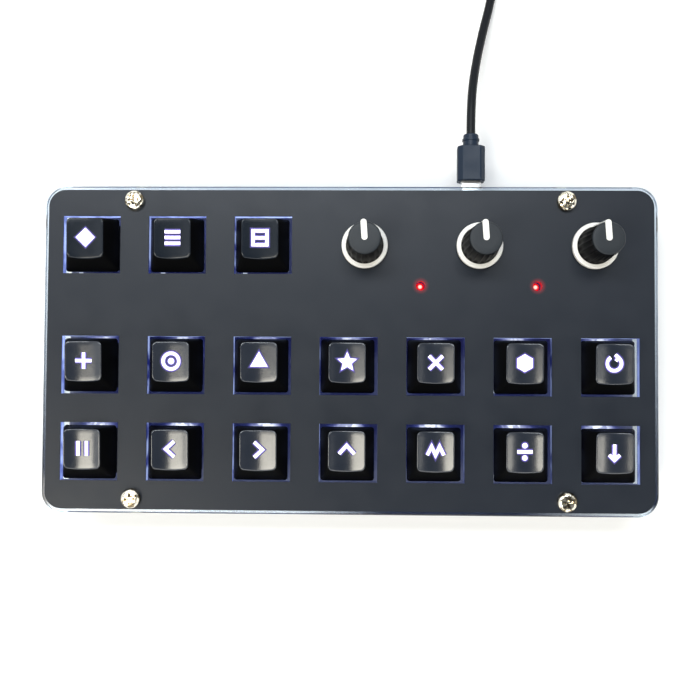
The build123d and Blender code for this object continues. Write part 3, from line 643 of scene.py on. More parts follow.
# Painted shade and light in the walls' tint: dark for walls that face the front, blue for walls that
# face the back, red near the red lamps.
wall_shade_tints = ((0.008, 0.012, 0.05), (0.06, 0.1, 0.55))
painted_red_tint = (0.5, 0.02, 0.02)
# Painted glow on the opening walls: navy, blue in patches, red near the red lamps.
painted_wall_navy = (0.012, 0.02, 0.18)
painted_wall_blue = (0.5, 0.64, 1.0)
painted_wall_red = (0.5, 0.0, 0.006)
# Painted red glow for the film around the red lamps' holes.
painted_red_halo = (0.18, 0.0, 0.002)
sawn_roughness = 0.6


def acrylic(name, shaded_rim, rim, edge_light, openings):
    """Clear acrylic with a tinted rim that carries painted shade, a painted light on its outer edges,
    and painted glow on its openings where asked.
    """
    material = bpy.data.materials.new(name)
    material.use_nodes = True
    tree = material.node_tree
    shader = tree.nodes["Principled BSDF"].inputs
    shader["Transmission Weight"].default_value = 1.0
    shader["IOR"].default_value = 1.49
    mask = use_group(tree, edge_lit)
    polish = use_group(tree, handled, Smooth=0.03, Dull=0.1)["Roughness"]
    feed(tree, shader["Roughness"], chain(tree, "MULTIPLY_ADD", mask["Wall"], sawn_roughness, polish))
    # The rim's tint carries painted shade, the walls' tint painted shade and painted red light, and the
    # emission painted glow.
    rim_tint = mixed(tree, mask["Level"], shaded_rim, rim)
    tint = mixed(tree, mask["Rim"], clear_tint, rim_tint)
    wall = mixed(tree, mask["Red"], mixed(tree, mask["Facing"], *wall_shade_tints), painted_red_tint)
    feed(tree, shader["Base Color"], mixed(tree, mask["Wall"], tint, wall))
    glow = mixed(tree, mask["Painted Edge Glow"], no_light, edge_light)
    if openings:
        navy = mixed(tree, mask["Facing"], no_light, painted_wall_navy)
        blue = mixed(tree, mask["Bright"], navy, painted_wall_blue)
        light = mixed(tree, mask["Red"], blue, painted_wall_red)
        glow = mixed(tree, mask["Wall"], glow, light)
    feed(tree, shader["Emission Color"], glow)
    shader["Emission Strength"].default_value = 1.0
    return material


# Painted shade and light on the rim: dark navy at the front right of the middle, pale at the back and
# at the front's left; the outer edges get a faint painted glow.
panel_acrylic = acrylic(
    "panel_acrylic",
    shaded_rim=(0.018, 0.026, 0.055),
    rim=(0.66, 0.74, 0.83),
    edge_light=(0.02, 0.027, 0.036),
    openings=True,
)
base_rim = (0.72, 0.81, 0.88)
# The base plate's rim has one tint, and its outer edges get a faint painted glow.
base_acrylic = acrylic(
    "base_acrylic", shaded_rim=base_rim, rim=base_rim, edge_light=(0.2, 0.25, 0.31), openings=False
)
matt_film = finish(
    "matt_film", dark=(0.013, 0.017, 0.025), light=(0.018, 0.022, 0.031),
    smooth=0.33, dull=0.4, grain=5200.0, bump=0.05, mottle=22.0, Specular_IOR_Level=0.22,
)
film_tree = matt_film.node_tree
film_shader = film_tree.nodes["Principled BSDF"].inputs
# The film gets a painted red glow around the red lamps' holes.
from_lamp = indicator_distance(film_tree, position(film_tree)[1])
halo = ramp(film_tree, from_lamp, hole_radius * MM, red_reach * MM, 1.0, 0.0)
feed(film_tree, film_shader["Emission Color"], mixed(film_tree, halo, no_light, painted_red_halo))
film_shader["Emission Strength"].default_value = 1.0
dress(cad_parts["face_panel"], panel_acrylic)
dress(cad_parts["base_plate"], base_acrylic)
dress(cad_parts["face_film"], matt_film)
print("plates", panel_acrylic.name, base_acrylic.name, matt_film.name)

# %% [markdown]
# A keycap is a moulded black cap with leaning sides and a scooped top. A lofted solid has hard
# edges, so each visible cap is a finer skin on the same sizes: every line of the side is cut where
# it meets the scoop, and a small curve rounds the rim that catches the light. The sides have the
# mould's dull grain and are painted near black with little reflection, painted shade, while
# fingers have polished the top, so the skin has two finishes. The rows are sculpted: their tops
# sit a little further back or forward over the same skirt.

# %% Keycap skin
cap_base = 18.0
cap_base_corner = 1.0
cap_top_x = 12.0
cap_top_y = 12.6
cap_top_corner = 1.6
cap_height = 8.8
row_shifts = (1.55, 1.25, 1.75)
cap_slope = math.tan(math.radians(3.0))
cap_wall = 1.4
cap_hollow = 6.45
dish_depth = 1.1
dish_radius = 17.2
rim_round = 0.4
side_shares = (0.0, 0.35, 0.7)
bend_shares = (0.0, 0.2, 0.4, 0.6, 0.8, 1.0)
scoop_shares = (0.8, 0.6, 0.4, 0.2, 0.06)
cut_rounds = 12
cut_easing = 1.0


def on_scoop(x, y, shift):
    """The point of the scooped top at x and y from the top's own middle."""
    sag = dish_depth - dish_radius + math.sqrt(dish_radius**2 - x * x)
    return Vector((x, y + shift, cap_height + y * cap_slope - sag))


def cap_line(foot, top, shift):
    """One line of the skin, from the skirt over the rim to the middle of the scoop."""
    start = Vector((foot.x, foot.y, 0))
    end = Vector((top.x, top.y + shift, cap_height + top.y * cap_slope))
    share = 1.0
    for _ in range(cut_rounds):
        trial = start.lerp(end, share)
        above = trial.z - on_scoop(trial.x, trial.y - shift, shift).z
        share -= above / (end.z + cut_easing)
    rim = start.lerp(end, share)
    below = rim + (start - rim).normalized() * rim_round
    flat = Vector((rim.x, rim.y - shift))
    inward = flat - flat.normalized() * rim_round
    inner = on_scoop(*inward, shift)
    points = [start.lerp(below, s) for s in side_shares]
    points += [below.lerp(rim, s).lerp(rim.lerp(inner, s), s) for s in bend_shares]
    points += [on_scoop(*(inward * s), shift) for s in scoop_shares]
    return points


def cap_skin(shift):
    """Rings of points from the hollow's roof, over the skirt and the rim, to the scoop's middle."""
    feet = rounded_rectangle(cap_base / 2, cap_base / 2, cap_base_corner)
    tops = rounded_rectangle(cap_top_x / 2, cap_top_y / 2, cap_top_corner)
    hollow_half = cap_base / 2 - cap_wall
    hollow_feet = rounded_rectangle(hollow_half, hollow_half, cap_base_corner)
    hollow_tops = rounded_rectangle(cap_top_x / 2 - cap_wall, cap_top_y / 2 - cap_wall, cap_base_corner)
    rings = [
        [Vector((p.x, p.y + shift, cap_hollow)) for p in hollow_tops],
        [Vector((p.x, p.y, 0)) for p in hollow_feet],
    ]
    return rings + list(zip(*[cap_line(foot, top, shift) for foot, top in zip(feet, tops)]))


cap_skins = [cap_skin(shift) for shift in row_shifts]
ring_count = len(cap_skins[0])
ring_size = len(cap_skins[0][0])
cap_faces = skin_faces(ring_count, ring_size)
first_polished = 1 + (ring_count - len(bend_shares) - len(scoop_shares)) * ring_size
print("cap skin", ring_count, "rings,", len(cap_faces), "faces")

# %% [markdown]
# All seventeen caps use that skin, in one form for each row. The rows sit where the solids are:
# three keys at the back and two full rows of seven, with the switches a touch to the left of their
# openings. The back row's tops get a darker, less glossy copy of the top finish, painted shade.

# %% Keycaps
key_pitch = 29.0
switch_shift = 0.35
middle_column = 4
cap_smooth_angle = 50
rows = ((35.1, 3), (-5.45, 7), (-34.8, 7))
keys = []
for row, (row_y, count) in enumerate(rows, start=1):
    for column in range(1, count + 1):
        key_x = (column - middle_column) * key_pitch - switch_shift
        keys.append((f"r{row}c{column}", key_x, row_y))
skin_of = {name: cap_skins[int(name[1]) - 1] for name, _, _ in keys}
shift_of = {name: row_shifts[int(name[1]) - 1] for name, _, _ in keys}
cap_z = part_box("keycap_r2c4")[0].z / MM
# Painted shade: the caps' sides are near black and reflect little, darker than the same plastic on top.
cap_side_shaded = finish(
    "keycap_side", dark=(0.0012, 0.0013, 0.0015), light=(0.003, 0.003, 0.0034),
    smooth=0.5, dull=0.64, grain=2600.0, bump=0.1, mottle=90.0, Specular_IOR_Level=0.04,
)
cap_top = finish(
    "keycap_top", dark=(0.004, 0.008, 0.018), light=(0.007, 0.012, 0.023),
    smooth=0.2, dull=0.24, grain=2600.0, bump=0.05, mottle=90.0, Specular_IOR_Level=1.0,
)
# Painted shade: the back row's tops are a darker, less glossy copy of the top finish.
cap_top_shaded = finish(
    "keycap_top_back", dark=(0.004, 0.008, 0.014), light=(0.006, 0.01, 0.018),
    smooth=0.2, dull=0.24, grain=2600.0, bump=0.05, mottle=90.0, Specular_IOR_Level=0.4,
)
polished = [int(face >= first_polished) for face in range(len(cap_faces))]
for name, x, y in keys:
    place = Vector((x, y, cap_z))
    cap_points = [p + place for ring in skin_of[name] for p in ring]
    cap = placed("cap_" + name, cap_points, cap_faces, cap_smooth_angle)
    # The back row gets the painted-shade copy of the top finish.
    top = cap_top_shaded if name.startswith("r1") else cap_top
    dress(cap, (cap_side_shaded, top), "key_" + name, ("keycap_" + name,))
    cap.data.polygons.foreach_set("material_index", polished)
print("keycaps", len(keys), "on skirts at", round(cap_z, 2))

# %% [markdown]
# The legends are windows in the cap that the lamp below lights. Each is a plain sign of strokes and
# filled shapes, laid on the scoop as thin strips. Light bleeds into the plastic around a window, so
# two wider and dimmer violet strips lie under the bright one.

# %% Signs for the legends
def arc(x, y, radius, start, end, steps=28):
    """Points along an arc, angles in degrees."""
    angles = [math.radians(start + (end - start) * step / steps) for step in range(steps + 1)]
    return [Vector((x + radius * math.cos(a), y + radius * math.sin(a))) for a in angles]


def polygon(radius, sides):
    """A closed regular polygon with a corner at the top."""
    return arc(0, 0, radius, 90, 450, sides)


def line(*corners):
    """A line through the corners."""
    return [Vector(corner) for corner in corners]


def star(points, outer, inner):
    """A closed star with a point at the top."""
    tips = polygon(outer, 2 * points)
    dents = polygon(inner, 2 * points)
    return [tip if step % 2 == 0 else dent for step, (tip, dent) in enumerate(zip(tips, dents))]


square = line((-2.3, -2.3), (2.3, -2.3), (2.3, 2.3), (-2.3, 2.3), (-2.3, -2.3))
signs = (
    ([], [polygon(3.0, 4)]),
    ([line((-2.6, rise), (2.6, rise)) for rise in (-1.9, 0, 1.9)], []),
    ([square, line((-2.3, 0), (2.3, 0))], []),
    ([line((0, -2.7), (0, 2.7)), line((-2.7, 0), (2.7, 0))], []),
    ([polygon(2.6, 28)], [polygon(0.9, 16)]),
    ([], [polygon(3.1, 3)]),
    ([], [star(5, 3.1, 1.4)]),
    ([line((-2.2, -2.2), (2.2, 2.2)), line((-2.2, 2.2), (2.2, -2.2))], []),
    ([], [polygon(2.8, 6)]),
    ([arc(0, 0, 2.3, 120, 420), line((0.3, 2.9), (1.3, 2.0), (0.6, 0.8))], []),
    ([line((side, -2.4), (side, 2.4)) for side in (-1.4, 1.4)], []),
    ([line((1.3, 2.5), (-1.4, 0), (1.3, -2.5))], []),
    ([line((-1.3, 2.5), (1.4, 0), (-1.3, -2.5))], []),
    ([line((-2.5, -1.1), (0, 1.6), (2.5, -1.1))], []),
    ([line((-2.7, -1.3), (-1.3, 1.5), (0, -1.3), (1.3, 1.5), (2.7, -1.3))], []),
    ([line((-2.5, 0), (2.5, 0))], [arc(0, rise, 0.75, 0, 360, 16) for rise in (-2.0, 2.0)]),
    ([line((0, 2.6), (0, -2.3)), line((-1.7, -0.8), (0, -2.5), (1.7, -0.8))], []),
)
print("signs", len(signs))

# %% [markdown]
# A stroke becomes a strip: each point of the line gets one point on either side, square to the
# line's direction there. A filled shape is a few smaller and smaller copies of its outline.

# %% Strips and filled shapes
stroke_step = 0.45
sharpest_corner = 0.45
fill_shares = (1.0, 0.7, 0.4, 0.1)
fill_edge = 0.1
same_point = 0.001


def dense(path):
    """The path with points close enough to follow the scoop."""
    points = []
    for this, following in zip(path, path[1:]):
        steps = max(1, round((following - this).length / stroke_step))
        points += [this.lerp(following, step / steps) for step in range(steps)]
    return points + [path[-1]]


def strip(path, width):
    """A flat strip of even width along the path."""
    points = dense(path)
    closed = (points[0] - points[-1]).length < same_point
    runs = [(b - a).normalized() for a, b in zip(points, points[1:])]
    first = runs[-1] if closed else runs[0]
    last = runs[0] if closed else runs[-1]
    sides = []
    for point, before, after in zip(points, [first] + runs, runs + [last]):
        mean = (before + after).normalized()
        reach = width / 2 / max(sharpest_corner, mean.dot(before))
        square_to = Vector((-mean.y, mean.x)) * reach
        sides += [point + square_to, point - square_to]
    faces = [(i, i + 1, i + 3, i + 2) for i in range(0, len(sides) - 2, 2)]
    return sides, faces


def filled(outline):
    """A filled shape from a closed outline around its own middle."""
    points = dense(outline)[:-1]
    middle = sum(points, Vector((0, 0))) / len(points)
    size = len(points)
    vertices = [middle.lerp(p, share) for share in fill_shares for p in points]
    return vertices, skin_faces(len(fill_shares), size)[1:]


print("a strip around a square has", len(strip(square, 1.0)[1]), "faces")

# %% [markdown]
# Each sign is drawn in three layers, from the widest and dimmest at the bottom to the bright one on
# top. All are lifted on to the scoop by the function that shaped it. The lit plastic is a finish
# whose own colour also goes into its emission.

# %% Legends
uneven_share = 0.82


def glowing(name, colour, strength):
    """A lit plastic, a little uneven."""
    dim = tuple(uneven_share * channel for channel in colour)
    material = finish(
        name, dark=dim, light=colour,
        smooth=0.3, dull=0.4, mottle=900.0, Specular_IOR_Level=0.2,
    )
    shader = material.node_tree.nodes["Principled BSDF"].inputs
    feed(material.node_tree, shader["Emission Color"], shader["Base Color"].links[0].from_socket)
    shader["Emission Strength"].default_value = strength
    return material


legend_layers = (
    (2.1, 0.02, glowing("legend_haze", (0.05, 0.045, 0.15), 0.5)),
    (1.35, 0.06, glowing("legend_bleed", (0.3, 0.24, 0.78), 0.7)),
    (0.95, 0.1, glowing("legend_light", (0.96, 0.94, 1.0), 1.3)),
)
brightest_width = legend_layers[-1][0]
for (name, x, y), (strokes, solids) in zip(keys, signs):
    vertices = []
    faces = []
    layers = []
    for layer, (width, lift_off, _) in enumerate(legend_layers):
        shapes = [strip(path, width) for path in strokes]
        shapes += [strip(outline, width - brightest_width + fill_edge) for outline in solids]
        shapes += [filled(outline) for outline in solids]
        for points, shape_faces in shapes:
            start = len(vertices)
            for p in points:
                vertices.append(on_scoop(p.x, p.y, shift_of[name]) + Vector((x, y, cap_z + lift_off)))
            faces += [tuple(start + i for i in face) for face in shape_faces]
            layers += [layer] * len(shape_faces)
    legend = placed("legend_" + name, vertices, faces)
    dress(legend, tuple(layer[2] for layer in legend_layers), "key_" + name)
    legend.data.polygons.foreach_set("material_index", layers)
print("legends", len(signs), "in", len(legend_layers), "layers")

# %% [markdown]
# Each knob is a black tapered grip with fine grooves. The grooves follow the taper, so a lathed
# skin with a rippled radius is simpler than cutting them: the ripple fades out near the skirt and
# the rounded top.

# %% Knob grip
knob_height = 17.0
grip_base = 6.3
grip_top = 5.25
grip_round = 0.6
groove_depth = 0.35
groove_start = 2.2
groove_end = 15.6
groove_fade = 0.5
groove_levels = (5.0, 8.0, 11.0, 14.0)
ribs = 18
columns_per_rib = 12
rib_sharpness = 2
knob_lean = math.radians(4.0)
knob_columns = columns_per_rib * ribs
bend_steps = 5
flat_shares = (0.6, 0.3, 0.05)


def grip_ring(z, rippled):
    """One level of the grip, with its ribs where asked."""
    radius = grip_base + (grip_top - grip_base) * z / knob_height
    ring = []
    for step in range(knob_columns):
        angle = 2 * math.pi * step / knob_columns
        rib = (0.5 + 0.5 * math.cos(ribs * (angle - knob_lean))) ** rib_sharpness
        r = radius - groove_depth * rippled * (1 - rib)
        ring.append(Vector((r * math.cos(angle), r * math.sin(angle), z)))
    return ring


grip_levels = [(0.0, 0)]
grip_levels += [(groove_start + groove_fade * step, (1 + step) / 2) for step in (-1, 0, 1)]
grip_levels += [(z, 1) for z in groove_levels]
grip_levels += [(groove_end + groove_fade * step, (1 - step) / 2) for step in (-1, 0, 1)]
grip_rings = [grip_ring(z, rippled) for z, rippled in grip_levels]
grip_sides = len(grip_rings)
top_line = []
for step in range(bend_steps + 1):
    angle = math.pi / 2 * step / bend_steps
    inset = grip_round * (1 - math.cos(angle))
    drop = grip_round * (1 - math.sin(angle))
    top_line.append((grip_top - inset, knob_height - drop))
top_line += [(grip_top * share, knob_height) for share in flat_shares]
for radius, z in top_line:
    grip_rings.append([Vector((p.x, p.y, z)) for p in circle(radius, knob_columns)])
grip_faces = skin_faces(len(grip_rings), knob_columns)
grip_flats = [int(face > grip_sides * knob_columns) for face in range(len(grip_faces))]
print("grip with", ribs, "ribs and", len(grip_faces), "faces")

# %% [markdown]
# The three knobs share the grip. Its ribbed side is dull and painted near black, painted shade,
# and its flat top is painted a lighter grey, painted light, so it has two finishes, as a cap has.
# The white ring and pointer are the solids as they are, and so is the encoder's shaft inside.

# %% Knobs
knob_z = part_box("knob_middle")[0].z / MM
# Painted shade: the ribbed side is near black and reflects little.
knob_side_shaded = finish(
    "knob_side_shaded", dark=(0.0015, 0.0015, 0.002), light=(0.003, 0.003, 0.004),
    smooth=0.4, dull=0.52, grain=2400.0, bump=0.08, mottle=120.0, Specular_IOR_Level=0.04,
)
# Painted light: the flat top is a lighter grey than the side of the same plastic.
knob_top_lit = finish(
    "knob_top_lit", dark=(0.011, 0.015, 0.02), light=(0.016, 0.02, 0.026),
    smooth=0.4, dull=0.5, grain=2400.0, bump=0.08, mottle=120.0, Specular_IOR_Level=0.33,
)
pointer_white = finish(
    "pointer_white", dark=(0.87, 0.86, 0.83), light=(0.92, 0.91, 0.89),
    smooth=0.3, dull=0.4, grain=1800.0, bump=0.04, mottle=80.0,
)
shaft_metal = finish(
    "shaft_metal", dark=(0.6, 0.6, 0.58), light=(0.74, 0.74, 0.72),
    smooth=0.22, dull=0.34, grain=900.0, bump=0.05, mottle=200.0, Metallic=1.0,
)
for step, side in enumerate(("left", "middle", "right"), start=-1):
    centre = Vector((knob_x + step * knob_pitch, knob_y, knob_z))
    grip_points = [centre + p for ring in grip_rings for p in ring]
    grip = placed("grip_" + side, grip_points, grip_faces, cap_smooth_angle)
    dress(grip, (knob_side_shaded, knob_top_lit), "knob_" + side, ("knob_" + side,))
    grip.data.polygons.foreach_set("material_index", grip_flats)
    dress(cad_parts["knob_pointer_" + side], pointer_white)
    dress(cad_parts["encoder_shaft_" + side], shaft_metal)
print("knobs on", round(knob_z, 2))

# %% [markdown]
# Metal parts: plated screws and standoffs with a warm cast, tin-plated encoder bodies and the USB
# socket. The grain group doubles as plating texture at a coarser scale. The screw heads carry a
# patchwork of painted glints and painted dark reflections, so their two colours lie far apart.

# %% Screws, standoffs and metal parts
# Painted reflection: a sharp step on the mottle splits each screw head into bright glints and dark
# patches.
painted_glint_range = (0.42, 0.56)
screw_plating_painted_glints = finish(
    "screw_plating_painted_glints", dark=(0.2, 0.16, 0.1), light=(1.0, 0.93, 0.78),
    smooth=0.08, dull=0.22, grain=900.0, bump=0.5, mottle=620.0, Metallic=1.0,
)
nickel = finish(
    "nickel", dark=(0.56, 0.51, 0.43), light=(0.74, 0.7, 0.62),
    smooth=0.14, dull=0.3, grain=700.0, bump=0.12, mottle=300.0, Metallic=1.0,
)
screw_tree = screw_plating_painted_glints.node_tree
screw_blend = screw_tree.nodes["Mix"].inputs["Factor"]
screw_glint_noise = screw_blend.links[0].from_socket
feed(screw_tree, screw_blend, ramp(screw_tree, screw_glint_noise, *painted_glint_range, 0.0, 1.0))
dress(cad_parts["screws"], screw_plating_painted_glints)
dress(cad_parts["standoffs"], nickel)
for node in ("encoder_bodies", "usb_socket"):
    dress(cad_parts[node], shaft_metal)
foot_rubber = finish(
    "foot_rubber", dark=(0.012, 0.012, 0.013), light=(0.022, 0.022, 0.023),
    smooth=0.7, dull=0.9, grain=1500.0, bump=0.2,
)
dress(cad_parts["rubber_feet"], foot_rubber)
print("metal finishes", screw_plating_painted_glints.name, nickel.name, shaft_metal.name)

# %% [markdown]
# Inside are black switch housings, coloured stems and wire springs. They show only through the
# narrow gaps and from the open sides, so the solids are good enough with their own finishes.

# %% Switches
housing = finish(
    "switch_housing", dark=(0.02, 0.02, 0.022), light=(0.032, 0.032, 0.035),
    smooth=0.35, dull=0.5, grain=2600.0, bump=0.06,
)
stem_plastic = finish(
    "stem_plastic", dark=(0.03, 0.07, 0.26), light=(0.05, 0.1, 0.34),
    smooth=0.3, dull=0.42,
)
wire = finish(
    "spring_wire", dark=(0.5, 0.5, 0.48), light=(0.66, 0.66, 0.64),
    smooth=0.2, dull=0.3, grain=700.0, bump=0.1, mottle=300.0, Metallic=1.0,
)
for node in ("switch_bases", "switch_covers"):
    dress(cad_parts[node], housing)
for name, _, _ in keys:
    dress(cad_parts["stem_" + name], stem_plastic)
dress(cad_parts["switch_springs"], wire)
print("switches", len(keys))

# %% [markdown]
# The board is white, as boards under lit keys often are, but its colour is painted blue-grey,
# painted shade for the little room light that gets to it, and a faint painted navy glow lies over
# all of it. Each lamp floods the board around it, which the gaps at the back of the front keys
# show. That spill is painted light from a group: it folds the board into one cell of the key grid
# and fades with the distance from the cell's lamp. Cells without a key and the board's underside
# get no spill, only the navy glow.

# %% Board and the light painted on it
pin_step = 1.27
lamp_reach = 4 * pin_step
spill_falloff = 3.5
broken_range = (0.4, 0.6)
broken_least = 0.55
# Painted light: a faint navy glow over the whole board, and the lamps' spill from navy at its edge to
# pale blue at its core.
painted_board_navy = (0.002, 0.003, 0.03)
spill_edge = (0.03, 0.06, 0.5)
spill_core = (0.85, 0.92, 1.0)
# Painted shade: the white board is coloured blue-grey.
board_white_shaded = finish(
    "board_white_shaded", dark=(0.27, 0.31, 0.4), light=(0.37, 0.41, 0.5),
    smooth=0.22, dull=0.36, grain=1200.0, bump=0.04, mottle=160.0,
)
board_bottom, board_top = (corner.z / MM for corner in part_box("circuit_board"))
lamp_spill, spill_in, spill_out = shader_group(
    "lamp_spill", [("Near", 3.3 * MM), ("Far", 11.5 * MM), ("Patch Scale", 520.0)], ["Spill"]
)
spilled = functools.partial(chain, lamp_spill)
spill_place, spill_xyz = position(lamp_spill)
cell_x = spilled("DIVIDE", spilled("ADD", spill_xyz["X"], switch_shift * MM), key_pitch * MM)
cell_x = spilled("FRACT", spilled("ADD", cell_x, 0.5))
cell_x = spilled("MULTIPLY", spilled("SUBTRACT", cell_x, 0.5), key_pitch * MM)
cell_y = spilled("SUBTRACT", spill_xyz["Y"], (rows[-1][0] + lamp_reach) * MM)
for (behind, _), (before, _) in zip(rows, rows[1:]):
    past = spilled("GREATER_THAN", spill_xyz["Y"], (behind + before) / 2 * MM)
    cell_y = spilled("MULTIPLY_ADD", past, (before - behind) * MM, cell_y)
off_lamp = distance(lamp_spill, cell_x, cell_y)
fading = ramp(lamp_spill, off_lamp, spill_in["Near"], spill_in["Far"], 1.0, 0.0)
fading = spilled("POWER", fading, spill_falloff)
spill_patch = noise(lamp_spill, spill_place, spill_in["Patch Scale"], detail=1.0)
broken = ramp(lamp_spill, spill_patch, *broken_range, broken_least, 1.0)
(back_y, back_count), (next_y, _) = rows[:2]
back_row = spilled("GREATER_THAN", spill_xyz["Y"], (back_y + next_y) / 2 * MM)
last_key_end = (back_count + 0.5 - middle_column) * key_pitch
past_keys = spilled("GREATER_THAN", spill_xyz["X"], last_key_end * MM)
keyed = spilled("SUBTRACT", 1.0, spilled("MULTIPLY", back_row, past_keys))
upper = spilled("GREATER_THAN", spill_xyz["Z"], (board_bottom + board_top) / 2 * MM)
for mask in (keyed, upper, broken):
    fading = spilled("MULTIPLY", fading, mask)
feed(lamp_spill, spill_out["Spill"], fading)
board_tree = board_white_shaded.node_tree
board_shader = board_tree.nodes["Principled BSDF"].inputs
spill = use_group(board_tree, lamp_spill)["Spill"]
spill_blue = mixed(board_tree, spill, spill_edge, spill_core)
feed(board_tree, board_shader["Emission Color"], mixed(board_tree, spill, painted_board_navy, spill_blue))
board_shader["Emission Strength"].default_value = 1.7
dress(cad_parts["circuit_board"], board_white_shaded)
print("board from", round(board_bottom, 2), "to", round(board_top, 2))

# %% [markdown]
# The board carries small parts, and every pin ends in a cone of solder below it. Both repeat, so two
# Geometry Nodes trees put one shape on each point of a small cloud of places: a block, turned a
# little by a fixed seed, and a cone that hangs down.

# %% Trees for blocks and solder
block_seed = 7
cone_sides = 10
cone_tip_share = 0.35
block_tree, block_source, block_inputs = node_tree(
    "board_blocks", [("Size", "Vector"), ("Skew", "Float"), ("Material", "Material")]
)
block = block_tree.nodes.new("GeometryNodeMeshCube")
block_places = block_tree.nodes.new("GeometryNodeInstanceOnPoints")
block_turn = block_tree.nodes.new("FunctionNodeRandomValue")
block_turn.data_type = "FLOAT"
block_turn.inputs["Seed"].default_value = block_seed
block_axis = block_tree.nodes.new("ShaderNodeCombineXYZ")
block_links = block_tree.links
block_links.new(block_source.outputs["Size"], block.inputs["Size"])
block_links.new(block_source.outputs["Skew"], block_turn.inputs[3])
block_links.new(block_turn.outputs[1], block_axis.inputs["Z"])
block_links.new(block_axis.outputs["Vector"], block_places.inputs["Rotation"])
block_links.new(block_source.outputs["Geometry"], block_places.inputs["Points"])
block_links.new(block.outputs["Mesh"], block_places.inputs["Instance"])
close_tree(block_tree, block_places.outputs["Instances"], block_source)

solder_tree, solder_source, solder_inputs = node_tree(
    "solder", [("Foot", "Float"), ("Drop", "Float"), ("Material", "Material")]
)
cone = solder_tree.nodes.new("GeometryNodeMeshCone")
cone.inputs["Vertices"].default_value = cone_sides
cone_places = solder_tree.nodes.new("GeometryNodeInstanceOnPoints")
cone_places.inputs["Rotation"].default_value = (math.pi, 0, 0)
cone_tip = chain(solder_tree, "MULTIPLY", solder_source.outputs["Foot"], cone_tip_share)
solder_links = solder_tree.links
solder_links.new(solder_source.outputs["Foot"], cone.inputs["Radius Bottom"])
solder_links.new(cone_tip, cone.inputs["Radius Top"])
solder_links.new(solder_source.outputs["Drop"], cone.inputs["Depth"])
solder_links.new(solder_source.outputs["Geometry"], cone_places.inputs["Points"])
solder_links.new(cone.outputs["Mesh"], cone_places.inputs["Instance"])
close_tree(solder_tree, cone_places.outputs["Instances"], solder_source)
print("trees", block_tree.name, solder_tree.name)

# %% [markdown]
# Each key has a dark resistor beside its lamp and a pale capacitor in front of it, which has a
# painted glow for the lamp's light and shows as a small spot in the gap below the key. One larger
# block is the controller.

# %% Parts and solder on the board
part_skew = 0.03
resistor_reach = 12.6
resistor_size = (1.25, 2.0, 0.55)
capacitor_x = -7.5
capacitor_y = -8.4
capacitor_size = (1.4, 1.0, 0.5)
controller_place = (26.0, 15.0)
controller_size = (10.0, 10.0, 1.5)
solder_foot = 0.95
solder_drop = 1.1
pin_grid = ((-3, -2), (2, -4), (-1, 4), (1, 4))
chip_black = finish(
    "chip_black", dark=(0.03, 0.03, 0.032), light=(0.05, 0.05, 0.052),
    smooth=0.4, dull=0.55,
)
solder_tin = finish(
    "solder_tin", dark=(0.6, 0.6, 0.6), light=(0.72, 0.72, 0.72),
    smooth=0.2, dull=0.35, grain=900.0, bump=0.1, mottle=300.0, Metallic=1.0,
)
# Painted light: the capacitors glow as if the key lamps lit them.
ceramic_painted_glow = glowing("ceramic_painted_glow", colour=(0.75, 0.84, 1.0), strength=0.75)


def cloud(name, places, z):
    """A mesh of loose points at one height."""
    mesh = bpy.data.meshes.new(name + "_places")
    mesh.from_pydata([(x * MM, y * MM, z * MM) for x, y in places], [], [])
    return mesh


def board_blocks(name, places, size, material):
    """Small parts on top of the board."""
    middle = board_top + size[2] / 2
    values = {"Size": [length * MM for length in size], "Skew": part_skew, "Material": material}
    piece = baked(name, cloud(name, places, middle), block_tree, block_inputs, values)
    return dress(piece, material, "chassis")


resistor_places = [(x - math.copysign(resistor_reach, x), y + lamp_reach) for _, x, y in keys]
capacitor_places = [(x + capacitor_x, y + capacitor_y) for _, x, y in keys]
board_blocks("resistors", resistor_places, resistor_size, chip_black)
board_blocks("controller", [controller_place], controller_size, chip_black)
board_blocks("capacitors", capacitor_places, capacitor_size, ceramic_painted_glow)
joints = [(x + a * pin_step, y + b * pin_step) for _, x, y in keys for a, b in pin_grid]
solder_values = {"Foot": solder_foot * MM, "Drop": solder_drop * MM, "Material": solder_tin}
solder_cloud = cloud("solder", joints, board_bottom)
solder = baked("solder_joints", solder_cloud, solder_tree, solder_inputs, solder_values)
dress(solder, solder_tin, "chassis")
print("board parts", len(resistor_places), "resistors,", len(joints), "solder joints")

# %% [markdown]
# The lamps are clear 3 mm domes, lathed from one outline. The ones in the switches are blue-white,
# and two red ones stand behind the small holes. A lit red lamp is deep red with a white-hot spot
# where its crystal shines straight up, so its light changes with the distance from its axis.

# %% Key lamps and red lamps
lamp_radius = 1.5
lamp_rim = 1.7
lamp_rim_height = 0.8
lamp_shoulder = 3.4
lamp_height = lamp_shoulder + lamp_radius
lamp_sides = 20
dome_steps = 5
dome_share = 0.97
leg_half = 0.225
leg_tail = 2.8
key_lamp_lift = 6.0
indicator_gap = 0.4
hot_core = 0.35
hot_edge = 0.85
hot_white = (1.0, 0.85, 0.72)
key_lamp_z = board_top + key_lamp_lift
indicator_z = panel_low.z - indicator_gap - lamp_height
lamp_outline = [(lamp_rim, 0), (lamp_rim, lamp_rim_height), (lamp_radius, lamp_rim_height)]
for step in range(dome_steps + 1):
    angle = dome_share * math.pi / 2 * step / dome_steps
    lamp_outline.append((lamp_radius * math.cos(angle), lamp_shoulder + lamp_radius * math.sin(angle)))


def domes(name, places, base_z, material):
    """Lathed lamp lenses at the places."""
    vertices = []
    faces = []
    for x, y in places:
        ring_faces = skin_faces(len(lamp_outline), lamp_sides)
        faces += [tuple(len(vertices) + i for i in face) for face in ring_faces]
        for radius, z in lamp_outline:
            vertices += [(p.x + x, p.y + y, base_z + z) for p in circle(radius, lamp_sides)]
    dress(placed(name, vertices, faces), material, "chassis", ("leds",))


